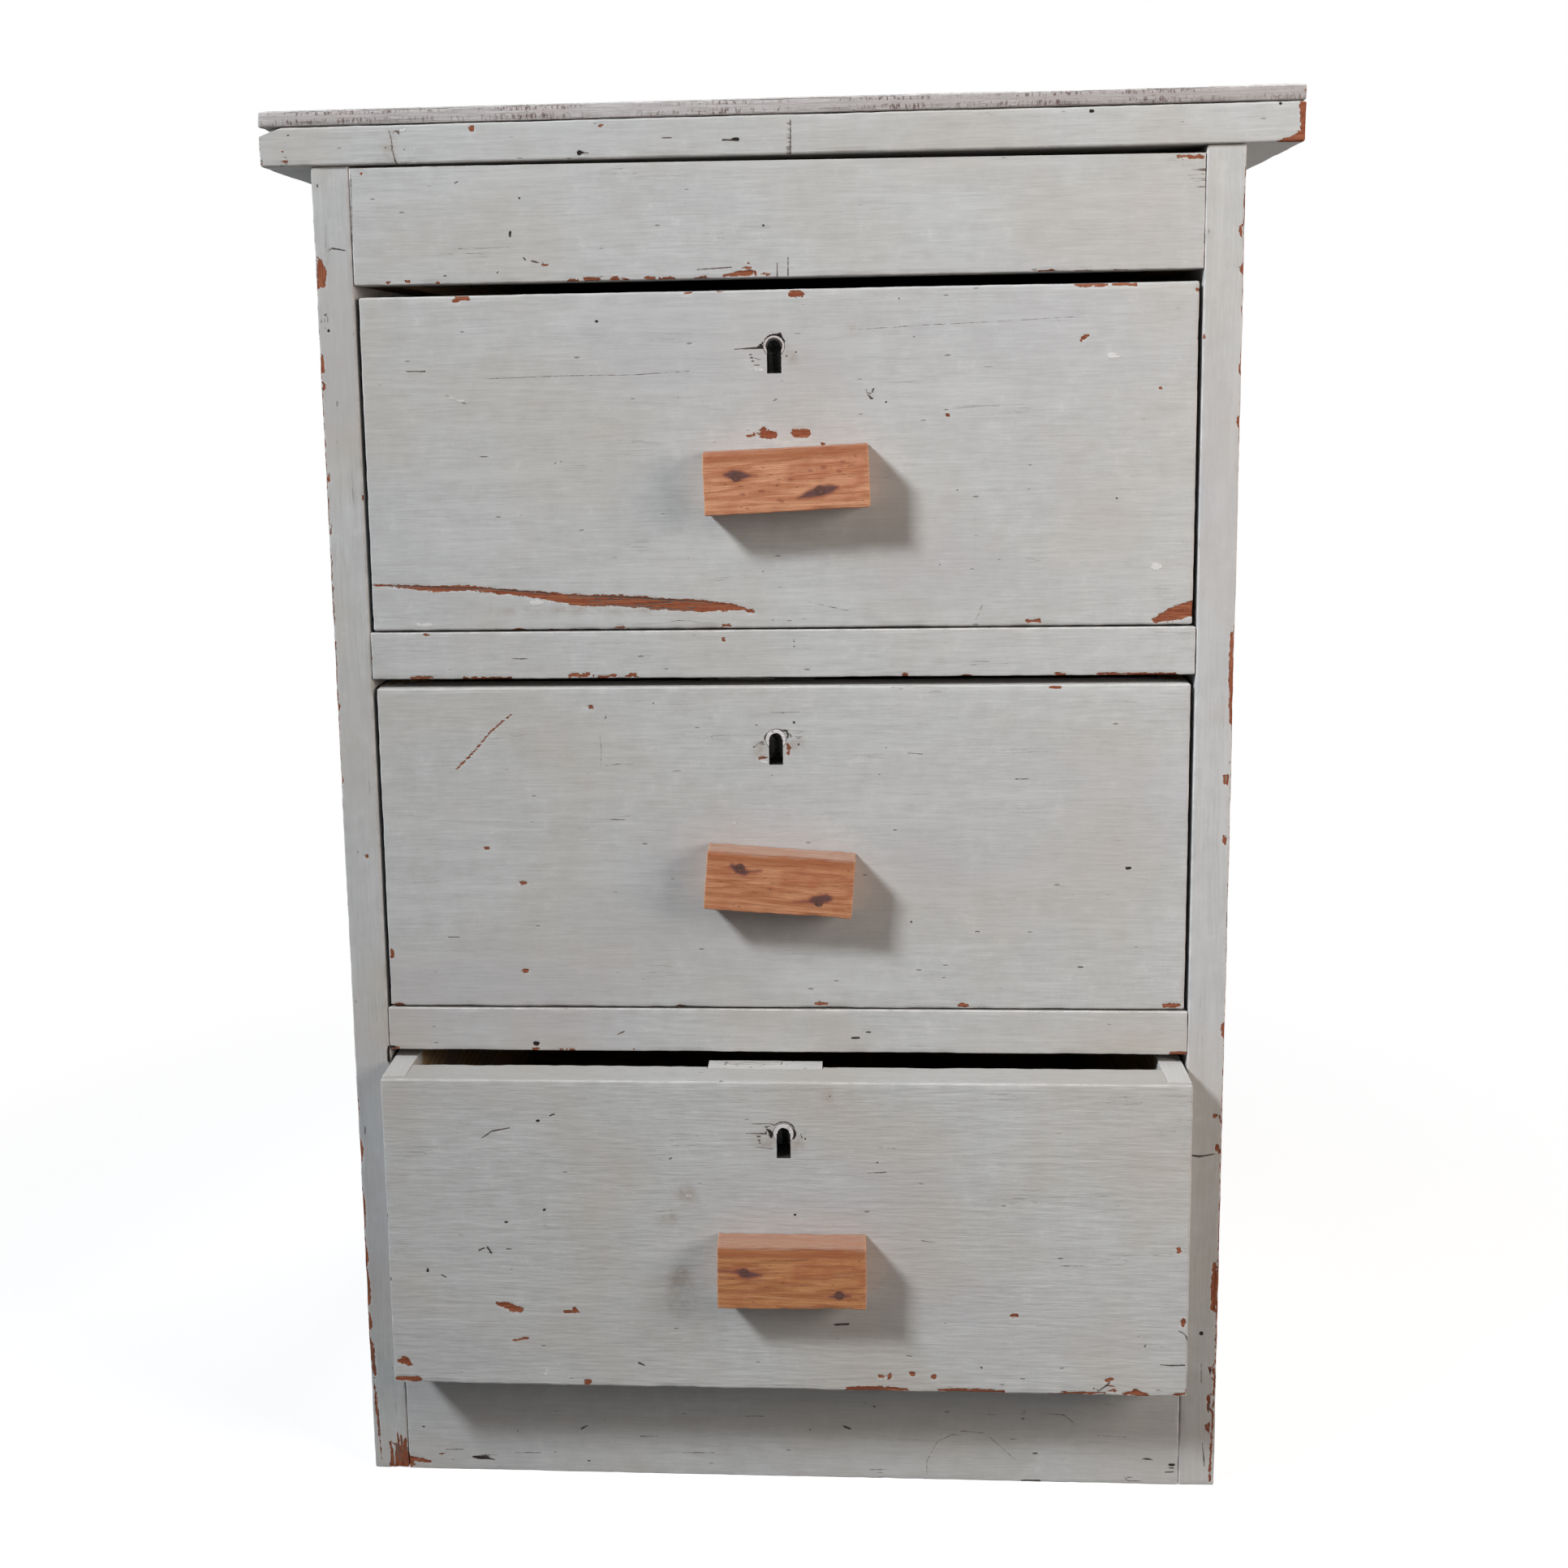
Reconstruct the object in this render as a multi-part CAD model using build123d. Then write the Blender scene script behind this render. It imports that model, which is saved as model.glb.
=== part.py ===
from build123d import *
import os

# Workshop drawer unit: painted softwood carcass, board top and three locking drawers.
# Millimetres. While it is built, X runs to the viewer's right from the carcass's middle, Y runs
# back from the carcass's front faces, and Z runs up from the floor.

# Carcass: side boards with rails between them, flush in front
carcass_width = 550.0
carcass_depth = 480.0
side_thickness = 23.0
rail_depth = 45.0
top_rail_thickness = 23.0
plinth_thickness = 23.0
plinth_height = 81.2
lower_rail_height = 28.5
upper_rail_height = 29.7
top_rail_height = 69.4
gap_under_top = 1.0
top_rail_taper = 3.6
back_thickness = 12.0
back_board_count = 5
back_board_gap = 0.6

# Top: a thick board with a thin one nailed over it
top_board_thickness = 23.0
overlay_thickness = 9.6
top_overhang_left = 30.0
top_overhang_right = 32.8
top_overhang_front = 2.0
top_edge_round = 1.5

# Runners under the drawers and kickers over the upper one
runner_width = 22.0
lowest_runner_height = 30.0
kicker_height = 24.0

# Drawers, each with a flush front that covers its opening
front_side_gap = 2.2
front_bottom_gap = 0.8
side_running_gap = 0.3
back_stop_gap = 0.4
front_thickness = 26.0
lower_front_height = 203.8
middle_front_height = 205.8
upper_front_height = 203.0
gap_over_lower_front = 5.4
gap_over_middle_front = 5.1
gap_over_upper_front = 6.7
lower_drawer_pulled_out = 34.8
front_edge_round = 1.2
front_lip = 5.0
drawer_side_thickness = 15.2
drawer_back_thickness = 13.8
drawer_back_below_side = 12.0
bottom_panel_thickness = 6.0
bottom_panel_rise = 10.0
groove_depth = 5.0
groove_clearance = 0.3

# Pine block handles: size, place of the middle on the front, tilt in degrees, nail places
handle_depth = 20.0
handle_edge_round = 1.0
upper_handle_width = 98.9
upper_handle_height = 37.8
upper_handle_shift = 7.2
upper_handle_above_bottom = 91.0
upper_handle_tilt = 2.2
middle_handle_width = 91.3
middle_handle_height = 37.6
middle_handle_shift = 0.0
middle_handle_above_bottom = 85.6
middle_handle_tilt = -4.2
lower_handle_width = 91.8
lower_handle_height = 40.5
lower_handle_shift = 5.7
lower_handle_above_bottom = 85.3
lower_handle_tilt = 0.0

# Keyholes and their pale horseshoe liners
keyhole_below_top = 33.4
upper_keyhole_shift = 0.3
middle_keyhole_shift = -1.7
lower_keyhole_shift = 1.1
keyhole_slot_width = 8.6
keyhole_slot_drop = 16.0
liner_outer_radius = 6.2
liner_bore_radius = 3.7
liner_depth = 8.0
liner_clearance = 0.3

# Locks, let into the backs of the fronts; sideways places count from the keyhole
lock_left_of_key = 47.8
lock_right_of_key = 23.9
lock_depth = 14.0
lock_height = 56.0
lock_wall = 1.2
lock_recess = 4.4
lock_recess_clearance = 0.6
lock_below_top = 0.5
bolt_left_of_key = 36.8
bolt_width = 34.8
bolt_thickness = 5.0
bolt_head_height = 20.0
bolt_proud = 0.7
bolt_throw = 8.0
bolt_clearance = 0.3
bolt_tail_width = 12.0
bolt_tail_thickness = 3.0
bolt_talon_width = 5.0
bolt_talon_height = 6.0
mortise_clearance = 1.0
spring_thickness = 0.6
spring_width = 3.0
spring_rise = 5.0
lock_key_slot_width = 3.6
lock_screw_inset = 5.0

# Wire nails and screws: shank radius, head radius, head thickness, length
frame_nail = (1.4, 3.0, 1.2, 52.0)
runner_nail = (1.2, 2.6, 1.0, 36.0)
top_nail = (1.5, 3.2, 1.2, 66.0)
back_nail = (1.2, 2.6, 1.0, 38.0)
corner_nail = (1.0, 2.0, 0.8, 36.0)
bottom_nail = (0.8, 1.8, 0.6, 24.0)
handle_nail = (1.5, 2.8, 1.0, 38.0)
lock_screw = (1.6, 3.0, 1.6, 22.0)
nail_hole_clearance = 0.05
nail_point = 3.0
nail_tip_radius = 0.2
nail_inset = 14.0
far_nail_inset = 40.0

half_carcass = carcass_width / 2
inner_half = half_carcass - side_thickness
inner_depth = carcass_depth - back_thickness


class Drawer:
    """The sizes that one drawer has of its own."""

    def __init__(self, name, front_height, gap_above, pulled_out, keyhole_shift, handle, nails):
        self.name = name
        self.front_height = front_height
        self.gap_above = gap_above
        self.pulled_out = pulled_out
        self.keyhole_shift = keyhole_shift
        self.handle_width, self.handle_height = handle[0], handle[1]
        self.handle_shift, self.handle_above_bottom = handle[2], handle[3]
        self.handle_tilt = handle[4]
        self.nails = nails


drawers = [
    Drawer("lower", lower_front_height, gap_over_lower_front, lower_drawer_pulled_out,
           lower_keyhole_shift,
           (lower_handle_width, lower_handle_height, lower_handle_shift,
            lower_handle_above_bottom, lower_handle_tilt),
           ((-29.0, 3.6), (29.0, -10.3))),
    Drawer("middle", middle_front_height, gap_over_middle_front, 0.0,
           middle_keyhole_shift,
           (middle_handle_width, middle_handle_height, middle_handle_shift,
            middle_handle_above_bottom, middle_handle_tilt),
           ((-24.5, 9.0), (24.5, -9.0))),
    Drawer("upper", upper_front_height, gap_over_upper_front, 0.0,
           upper_keyhole_shift,
           (upper_handle_width, upper_handle_height, upper_handle_shift,
            upper_handle_above_bottom, upper_handle_tilt),
           ((-29.5, 3.4), (19.5, -6.9))),
]

# Each drawer stands on the rail below it, and the next rail starts over its gap
rail_heights = [lower_rail_height, upper_rail_height, top_rail_height]
level = plinth_height
for drawer, rail_height in zip(drawers, rail_heights):
    drawer.rail_top = level
    drawer.front_bottom = level + front_bottom_gap
    drawer.front_top = drawer.front_bottom + drawer.front_height
    drawer.rail_above = drawer.front_top + drawer.gap_above
    level = drawer.rail_above + rail_height
carcass_height = level + gap_under_top

parts = {}


def board(x_low, x_high, y_low, y_high, z_low, z_high):
    """A square-edged board that fills the space between two corners."""
    middle = Pos((x_low + x_high) / 2, (y_low + y_high) / 2, (z_low + z_high) / 2)
    return middle * Box(x_high - x_low, y_high - y_low, z_high - z_low)


def round_front_edges(solid, radius):
    """Rounds the edges of the face that lies furthest to the front."""
    return fillet(solid.faces().sort_by(Axis.Y)[0].edges(), radius)


def nail(spec, place, direction, clearance=0.0):
    """A pointed shank under a flat head, whose outer face is centred on the place."""
    shank_radius, head_radius, head_thickness, length = spec
    down = (Align.CENTER, Align.CENTER, Align.MIN)
    straight = length - nail_point
    solid = Cylinder(shank_radius + clearance, straight, align=down)
    solid += Pos(0, 0, straight) * Cone(shank_radius + clearance, nail_tip_radius, nail_point, align=down)
    solid += Cylinder(head_radius + clearance, head_thickness + clearance, align=down)
    return Plane(origin=place, z_dir=direction) * solid


def drive(group, spec, places, direction, boards):
    """Adds nails to a group, and cuts their holes in the boards that they go through."""
    parts.setdefault(group, [])
    parts[group] += [nail(spec, place, direction) for place in places]
    holes = [nail(spec, place, direction, nail_hole_clearance) for place in places]
    for name in boards:
        if isinstance(parts[name], list):
            parts[name] = [piece - holes for piece in parts[name]]
        else:
            parts[name] = parts[name] - holes


def spread(low, high, count):
    """Evenly spaced places from low to high, both included."""
    return [low + (high - low) * step / (count - 1) for step in range(count)]


def make_carcass():
    """Side boards, rails, plinth, back boards and top."""
    for side, x_inner, x_outer in (("left", -inner_half, -half_carcass),
                                   ("right", inner_half, half_carcass)):
        upright = board(min(x_inner, x_outer), max(x_inner, x_outer), 0, inner_depth,
                        0, carcass_height)
        parts["carcass_side_" + side] = upright
    lower, middle, upper = drawers
    parts["plinth_rail"] = board(-inner_half, inner_half, 0, plinth_thickness, 0, plinth_height)
    for name, below, above in (("lower_drawer_rail", lower, middle),
                               ("upper_drawer_rail", middle, upper)):
        parts[name] = board(-inner_half, inner_half, 0, rail_depth,
                            below.rail_above, above.rail_top)
    rail_top = carcass_height - gap_under_top
    corners = [(-inner_half, upper.rail_above), (inner_half, upper.rail_above),
               (inner_half, rail_top - top_rail_taper), (-inner_half, rail_top)]
    parts["top_rail"] = extrude(Plane.XZ * Polygon(*corners, align=None), -top_rail_thickness)
    pitch = (carcass_height + back_board_gap) / back_board_count
    parts["back_boards"] = [
        board(-half_carcass, half_carcass, inner_depth, carcass_depth,
              row * pitch, (row + 1) * pitch - back_board_gap)
        for row in range(back_board_count)
    ]
    level = carcass_height
    for name, thickness in (("top_board", top_board_thickness),
                            ("top_overlay", overlay_thickness)):
        slab = board(-half_carcass - top_overhang_left, half_carcass + top_overhang_right,
                     -top_overhang_front, carcass_depth, level, level + thickness)
        front_edges = slab.faces().sort_by(Axis.Y)[0].edges().filter_by(Axis.X)
        parts[name] = fillet(front_edges, top_edge_round)
        level += thickness


def make_runners():
    """Strips nailed to the side boards: a pair under each drawer and a pair over the upper one."""
    lower, middle, upper = drawers
    strips = [
        ("lower_runner", plinth_thickness, lower.rail_top - lowest_runner_height, lower.rail_top),
        ("middle_runner", rail_depth, middle.rail_top - lower_rail_height, middle.rail_top),
        ("upper_runner", rail_depth, upper.rail_top - upper_rail_height, upper.rail_top),
        ("upper_kicker", top_rail_thickness, upper.rail_above, upper.rail_above + kicker_height),
    ]
    for name, y_front, z_low, z_high in strips:
        for side, sign in (("left", -1), ("right", 1)):
            ends = sorted((sign * inner_half, sign * (inner_half - runner_width)))
            node = name + "_" + side
            parts[node] = board(*ends, y_front, inner_depth, z_low, z_high)
            x_face = sign * (inner_half - runner_width)
            places = [(x_face, y, (z_low + z_high) / 2)
                      for y in spread(y_front + far_nail_inset, inner_depth - far_nail_inset, 3)]
            drive("frame_nails", runner_nail, places, (sign, 0, 0),
                  [node, "carcass_side_" + side])


def nail_carcass():
    """Nails of the rails' ends, the back boards and the top."""
    lower, middle, upper = drawers
    rails = [
        ("plinth_rail", [(plinth_thickness / 2, nail_inset),
                         (plinth_thickness / 2, plinth_height - nail_inset)]),
        ("top_rail", [(top_rail_thickness / 2, upper.rail_above + nail_inset),
                      (top_rail_thickness / 2, upper.rail_above + top_rail_height
                       - top_rail_taper - nail_inset)]),
    ]
    for name, below, above in (("lower_drawer_rail", lower, middle),
                               ("upper_drawer_rail", middle, upper)):
        height = (below.rail_above + above.rail_top) / 2
        rails.append((name, [(nail_inset, height), (rail_depth - nail_inset, height)]))
    for side, sign in (("left", -1), ("right", 1)):
        upright = "carcass_side_" + side
        for name, spots in rails:
            drive("frame_nails", frame_nail, [(sign * half_carcass, y, z) for y, z in spots],
                  (-sign, 0, 0), [upright, name])
        x_middle = sign * (half_carcass - side_thickness / 2)
        top_level = carcass_height + top_board_thickness + overlay_thickness
        drive("top_nails", top_nail,
              [(x_middle, y, top_level)
               for y in spread(far_nail_inset, inner_depth - far_nail_inset, 4)],
              (0, 0, -1), [upright, "top_board", "top_overlay"])
        places = []
        for plank in parts["back_boards"]:
            box = plank.bounding_box()
            places += [(x_middle, carcass_depth, z)
                       for z in (box.min.Z + far_nail_inset, box.max.Z - far_nail_inset)]
        drive("back_nails", back_nail, places, (0, -1, 0), ["back_boards", upright])


def keyhole(x, z, y_low, y_high, radius, slot_width, drop):
    """The space of a keyhole: a round hole over a straight slot."""
    along = y_high - y_low
    middle = (y_low + y_high) / 2
    round_part = Pos(x, middle, z) * Rot(90, 0, 0) * Cylinder(radius, along)
    return round_part + board(x - slot_width / 2, x + slot_width / 2, y_low, y_high, z - drop, z)


def make_drawer_box(drawer):
    """Front, sides, back and bottom panel of one drawer, nailed together."""
    prefix = drawer.name + "_drawer_"
    y_face = -drawer.pulled_out
    y_front_back = y_face + front_thickness
    y_end = inner_depth - back_stop_gap - drawer.pulled_out
    half = inner_half - front_side_gap
    half_clear = half - drawer_side_thickness
    side_bottom = drawer.rail_top + side_running_gap
    panel_low = side_bottom + bottom_panel_rise
    panel_high = panel_low + bottom_panel_thickness
    groove_high = panel_high + groove_clearance
    key_x = drawer.keyhole_shift
    key_z = drawer.front_top - keyhole_below_top

    front = board(-half, half, y_face, y_front_back, drawer.front_bottom, drawer.front_top)
    front = round_front_edges(front, front_edge_round)
    for ends in ((-half, -half_clear), (half_clear, half)):
        front -= board(*ends, y_face + front_lip, y_front_back,
                       drawer.front_bottom, drawer.front_top)
    front -= board(-half_clear, half_clear, y_front_back - groove_depth, y_front_back,
                   panel_low, groove_high)
    front -= keyhole(key_x, key_z, y_face, y_front_back,
                     liner_outer_radius + liner_clearance, keyhole_slot_width, keyhole_slot_drop)
    lock_top = drawer.front_top - lock_below_top
    front -= board(key_x - lock_left_of_key - lock_recess_clearance,
                   key_x + lock_right_of_key + lock_recess_clearance,
                   y_front_back - lock_recess, y_front_back,
                   lock_top - lock_height - lock_recess_clearance, drawer.front_top)
    parts[prefix + "front"] = front

    for side, sign in (("left", -1), ("right", 1)):
        ends = sorted((sign * half, sign * half_clear))
        cheek = board(*ends, y_face + front_lip, y_end, side_bottom, drawer.front_top)
        groove = sorted((sign * half_clear, sign * (half_clear + groove_depth)))
        cheek -= board(*groove, y_face + front_lip, y_end, panel_low, groove_high)
        parts[prefix + "side_" + side] = cheek
    back_top = drawer.front_top - drawer_back_below_side
    parts[prefix + "back"] = board(-half_clear, half_clear, y_end - drawer_back_thickness, y_end,
                                   panel_high, back_top)
    panel_half = half_clear + groove_depth - groove_clearance
    parts[prefix + "bottom"] = board(-panel_half, panel_half,
                                     y_front_back - groove_depth + groove_clearance, y_end,
                                     panel_low, panel_high)

    y_corner = y_face + (front_lip + front_thickness) / 2
    y_back = y_end - drawer_back_thickness / 2
    for side, sign in (("left", -1), ("right", 1)):
        cheek = prefix + "side_" + side
        corner_heights = spread(panel_high + nail_inset, drawer.front_top - nail_inset, 3)
        drive(prefix + "joint_nails", corner_nail,
              [(sign * half, y_corner, z) for z in corner_heights],
              (-sign, 0, 0), [cheek, prefix + "front"])
        drive(prefix + "joint_nails", corner_nail,
              [(sign * half, y_back, z)
               for z in (panel_high + nail_inset, back_top - nail_inset)],
              (-sign, 0, 0), [cheek, prefix + "back"])
    drive(prefix + "joint_nails", bottom_nail,
          [(x, y_back, panel_low) for x in spread(-half_clear / 2, half_clear / 2, 3)],
          (0, 0, 1), [prefix + "bottom", prefix + "back"])


def make_handle(drawer):
    """A pine block and the two nails that hold it."""
    prefix = drawer.name + "_drawer_"
    y_face = -drawer.pulled_out
    block = Box(drawer.handle_width, handle_depth, drawer.handle_height)
    block = round_front_edges(block, handle_edge_round)
    place = Pos(drawer.handle_shift, y_face - handle_depth / 2,
                drawer.front_bottom + drawer.handle_above_bottom)
    turned = place * Rot(0, -drawer.handle_tilt, 0)
    parts[prefix + "handle"] = turned * block
    heads = [(turned * Pos(x, -handle_depth / 2, z)).position for x, z in drawer.nails]
    drive(prefix + "handle_nails", handle_nail, heads, (0, 1, 0),
          [prefix + "handle", prefix + "front"])


def make_lock(drawer):
    """Lock case let into the back of the front, its bolt and spring, and the keyhole's liner."""
    prefix = drawer.name + "_drawer_"
    y_face = -drawer.pulled_out
    key_x = drawer.keyhole_shift
    key_z = drawer.front_top - keyhole_below_top
    x_low = key_x - lock_left_of_key
    x_high = key_x + lock_right_of_key
    y_low = y_face + front_thickness - lock_recess
    y_high = y_low + lock_depth
    z_high = drawer.front_top - lock_below_top
    z_low = z_high - lock_height
    floor = z_low + lock_wall

    bolt_x = key_x - bolt_left_of_key
    bolt_y = y_high - lock_wall - bolt_clearance
    bolt_top = z_high + bolt_proud
    head_bottom = bolt_top - bolt_head_height
    tail_right = bolt_x + bolt_width - bolt_clearance
    tail_left = tail_right - bolt_tail_width
    bolt = board(bolt_x, bolt_x + bolt_width, bolt_y - bolt_thickness, bolt_y,
                 head_bottom, bolt_top)
    bolt += board(tail_left, tail_right, bolt_y - bolt_tail_thickness, bolt_y,
                  floor + bolt_clearance, head_bottom)
    bolt -= board(tail_right - bolt_talon_width, tail_right, bolt_y - bolt_tail_thickness, bolt_y,
                  key_z - bolt_talon_height, key_z)
    parts[prefix + "lock_bolt"] = bolt

    case = board(x_low, x_high, y_low, y_high, z_low, z_high)
    case -= board(x_low + lock_wall, x_high - lock_wall, y_low + lock_wall, y_high - lock_wall,
                  floor, z_high - lock_wall)
    case -= board(bolt_x - bolt_clearance, bolt_x + bolt_width + bolt_clearance,
                  bolt_y - bolt_thickness - bolt_clearance, bolt_y + bolt_clearance,
                  z_high - lock_wall, z_high)
    case -= keyhole(key_x, key_z, y_low, y_low + lock_wall,
                    liner_bore_radius, lock_key_slot_width, keyhole_slot_drop)
    parts[prefix + "lock_case"] = case

    # The leaf spring arches from the case's wall to the bolt's tail
    start_x = x_low + lock_wall
    end_x = tail_left - bolt_clearance
    spring_z = (floor + head_bottom) / 2
    middle_x = (start_x + end_x) / 2
    lower_arc = ThreePointArc((start_x, spring_z), (middle_x, spring_z + spring_rise),
                              (end_x, spring_z))
    upper_arc = ThreePointArc((start_x, spring_z + spring_thickness),
                              (middle_x, spring_z + spring_rise + spring_thickness),
                              (end_x, spring_z + spring_thickness))
    outline = make_face([lower_arc, Line(lower_arc @ 1, upper_arc @ 1), upper_arc,
                         Line(upper_arc @ 0, lower_arc @ 0)])
    leaf = extrude(Plane.XZ * outline, spring_width / 2, both=True)
    parts[prefix + "lock_spring"] = Pos(0, bolt_y - bolt_tail_thickness / 2, 0) * leaf

    heads = [(x, y_high + lock_screw[2], z)
             for x in (x_low + lock_screw_inset, x_high - lock_screw_inset)
             for z in (z_low + lock_screw_inset, z_high - 2 * lock_screw_inset)]
    drive(prefix + "lock_screws", lock_screw, heads, (0, -1, 0),
          [prefix + "lock_case", prefix + "front"])

    ring = Pos(key_x, y_face + liner_depth / 2, key_z) * Rot(90, 0, 0) * (
        Cylinder(liner_outer_radius, liner_depth) - Cylinder(liner_bore_radius, liner_depth))
    ring -= board(key_x - keyhole_slot_width / 2, key_x + keyhole_slot_width / 2,
                  y_face, y_face + liner_depth, key_z - keyhole_slot_drop, key_z)
    parts[prefix + "keyhole_liner"] = ring

    # A drawer rail is deep enough to need a mortise, cut as deep as the bolt's throw. The upper
    # drawer's bolt rises behind the thin top rail.
    rail = {"lower": "lower_drawer_rail", "middle": "upper_drawer_rail"}.get(drawer.name)
    if rail:
        closed_y = bolt_y + drawer.pulled_out
        parts[rail] -= board(bolt_x - mortise_clearance, bolt_x + bolt_width + mortise_clearance,
                             closed_y - bolt_thickness - mortise_clearance,
                             closed_y + mortise_clearance,
                             drawer.rail_above, drawer.rail_above + bolt_throw)


make_carcass()
make_runners()
nail_carcass()
for drawer in drawers:
    make_drawer_box(drawer)
    make_handle(drawer)
    make_lock(drawer)

# The origin is under the middle of the whole unit's box, on the floor
front_reach = max(drawer.pulled_out for drawer in drawers) + handle_depth
to_origin = Pos((top_overhang_left - top_overhang_right) / 2,
                (front_reach - carcass_depth) / 2, 0)

os.makedirs("parts", exist_ok=True)
for name, solid in parts.items():
    shape = Compound(children=solid) if isinstance(solid, list) else solid
    export_step(to_origin * shape, "parts/" + name + ".step")
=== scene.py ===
import math

import bmesh
import bpy
import numpy as np
from mathutils import Euler, Matrix, Vector, noise


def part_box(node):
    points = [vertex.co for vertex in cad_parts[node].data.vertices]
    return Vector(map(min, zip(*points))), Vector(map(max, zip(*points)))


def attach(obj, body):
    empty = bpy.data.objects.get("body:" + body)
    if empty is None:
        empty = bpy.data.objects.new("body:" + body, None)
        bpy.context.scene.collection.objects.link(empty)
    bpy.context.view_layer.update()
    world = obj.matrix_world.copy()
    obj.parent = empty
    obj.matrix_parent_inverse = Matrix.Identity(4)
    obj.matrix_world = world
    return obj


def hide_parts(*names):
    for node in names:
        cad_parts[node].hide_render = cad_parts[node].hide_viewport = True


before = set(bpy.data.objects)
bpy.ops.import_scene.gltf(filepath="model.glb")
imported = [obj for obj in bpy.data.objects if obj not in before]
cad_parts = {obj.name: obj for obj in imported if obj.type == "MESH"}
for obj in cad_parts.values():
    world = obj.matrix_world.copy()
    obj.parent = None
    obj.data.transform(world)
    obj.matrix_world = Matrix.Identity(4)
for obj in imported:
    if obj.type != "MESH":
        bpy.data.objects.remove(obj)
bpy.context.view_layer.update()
mm = 0.001


def new_object(name, data):
    """An object in the scene that shows some data."""
    thing = bpy.data.objects.new(name, data)
    bpy.context.scene.collection.objects.link(thing)
    return thing


def from_shape(name, shape):
    """A mesh object that takes over an edited shape."""
    mesh = bpy.data.meshes.new(name)
    shape.to_mesh(mesh)
    shape.free()
    return new_object(name, mesh)


def points_of(piece):
    """The points of a piece, one to a row."""
    points = np.empty(len(piece.data.vertices) * 3)
    piece.data.vertices.foreach_get("co", points)
    return points.reshape(-1, 3)


def keep(piece, title, values):
    """Keeps a number, or three, for each point of a piece."""
    kind, part = ("FLOAT_VECTOR", "vector") if np.ndim(values) == 2 else ("FLOAT", "value")
    kept_values = piece.data.attributes.new(title, kind, "POINT").data
    kept_values.foreach_set(part, np.ravel(values).astype(np.float32))


def recoat(piece, material):
    """Gives a piece one material in place of those that it has."""
    piece.data.materials.clear()
    piece.data.materials.append(material)


# Camera. The photograph was taken from about a metre away, at four fifths of the unit's height and
# a little to the right of its middle, looking down, so the uprights lean in towards the floor.
photo_width = 1932
focal_length = 2239.0
camera_place = Vector((0.04108, -1.30896, 0.71569))
camera_turn = Euler([math.radians(angle) for angle in (81.3827, 0.9774, 3.6037)])
middle_across = 898.6
middle_down = 799.9

camera_data = bpy.data.cameras.new("camera")
camera_data.sensor_width = 36.0
camera_data.lens = focal_length / photo_width * camera_data.sensor_width
camera_data.shift_x = 0.5 - middle_across / photo_width
camera_data.shift_y = middle_down / photo_width - 0.5
camera_data.clip_start = 0.01
camera = new_object("camera", camera_data)
camera.location = camera_place
camera.rotation_euler = camera_turn
bpy.context.scene.camera = camera


# Side boards. Two pine boards that stand on the floor, with their front edges showing as the
# uprights. They were brushed with light grey oil paint over a red-brown first coat, which has
# chipped away along the arrises and at the feet.
def in_photo(points):
    """Where points show in the photograph, in pixels across and down, and its pixels a millimetre."""
    seen = (points - np.array(camera_place)) @ np.array(camera_turn.to_matrix())
    scale = focal_length / -seen[:, 2]
    return middle_across + seen[:, 0] * scale, middle_down - seen[:, 1] * scale, scale * mm


def chip(across, down, width, height, tilt=0.0):
    """A chip seen in the photograph, as a stroke of two points with half its thickness. In the
    lists of marks, a tuple is a chip, and a list holds a longer stroke's points themselves."""
    half = (max(width, height) - min(width, height)) / 2 + 0.01
    angle = math.radians(tilt if width >= height else tilt + 90)
    reach = Vector((math.cos(angle), math.sin(angle))) * half
    radius = min(width, height) / 2
    return [(across - reach.x, down - reach.y, radius), (across + reach.x, down + reach.y, radius)]


def nearest_mark(marks, points, front, reach):
    """Steps in mm across and down from the nearest stroke's middle line, and its half thickness."""
    across, down, scale = in_photo(points)
    behind = np.clip((points[:, 1] - front) / mm - 1.5, 0, 30)
    field = np.zeros((len(points), 3))
    field[:, 2] = -reach
    best = np.full(len(points), -reach)
    for mark in marks:
        stroke = chip(*mark) if isinstance(mark, tuple) else mark
        for (u0, v0, r0), (u1, v1, r1) in zip(stroke, stroke[1:]):
            run = Vector((u1 - u0, v1 - v0))
            along = ((across - u0) * run.x + (down - v0) * run.y) / run.length_squared
            along = np.clip(along, 0, 1)
            steps = np.stack([(across - u0 - along * run.x) / scale,
                              (down - v0 - along * run.y) / scale,
                              (r0 + along * (r1 - r0)) / scale - behind], axis=1)
            inside = steps[:, 2] - np.hypot(steps[:, 0], steps[:, 1])
            nearer = inside > best
            best[nearer] = inside[nearer]
            field[nearer] = steps[nearer]
    return field, best


def board_shape(low, high, cell, arris):
    """A board planed from a cube: its arrises eased, then crossed by a fine net of cuts."""
    shape = bmesh.new()
    bmesh.ops.create_cube(shape, size=1)
    bmesh.ops.scale(shape, vec=high - low, verts=shape.verts)
    bmesh.ops.translate(shape, vec=(low + high) / 2, verts=shape.verts)
    bmesh.ops.bevel(shape, geom=shape.edges[:], offset=arris, segments=3, profile=0.5,
                    affect="EDGES", material=-1)
    for axis in range(3):
        flat = high[axis] - low[axis] - 2 * arris
        along = [edge for edge in shape.edges
                 if abs(edge.verts[0].co[axis] - edge.verts[1].co[axis]) > 0.99 * flat]
        cuts = round(flat / (cell[axis] * mm)) - 1
        if cuts > 0:
            bmesh.ops.subdivide_edges(shape, edges=along, cuts=cuts, use_grid_fill=True)
    return shape


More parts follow.
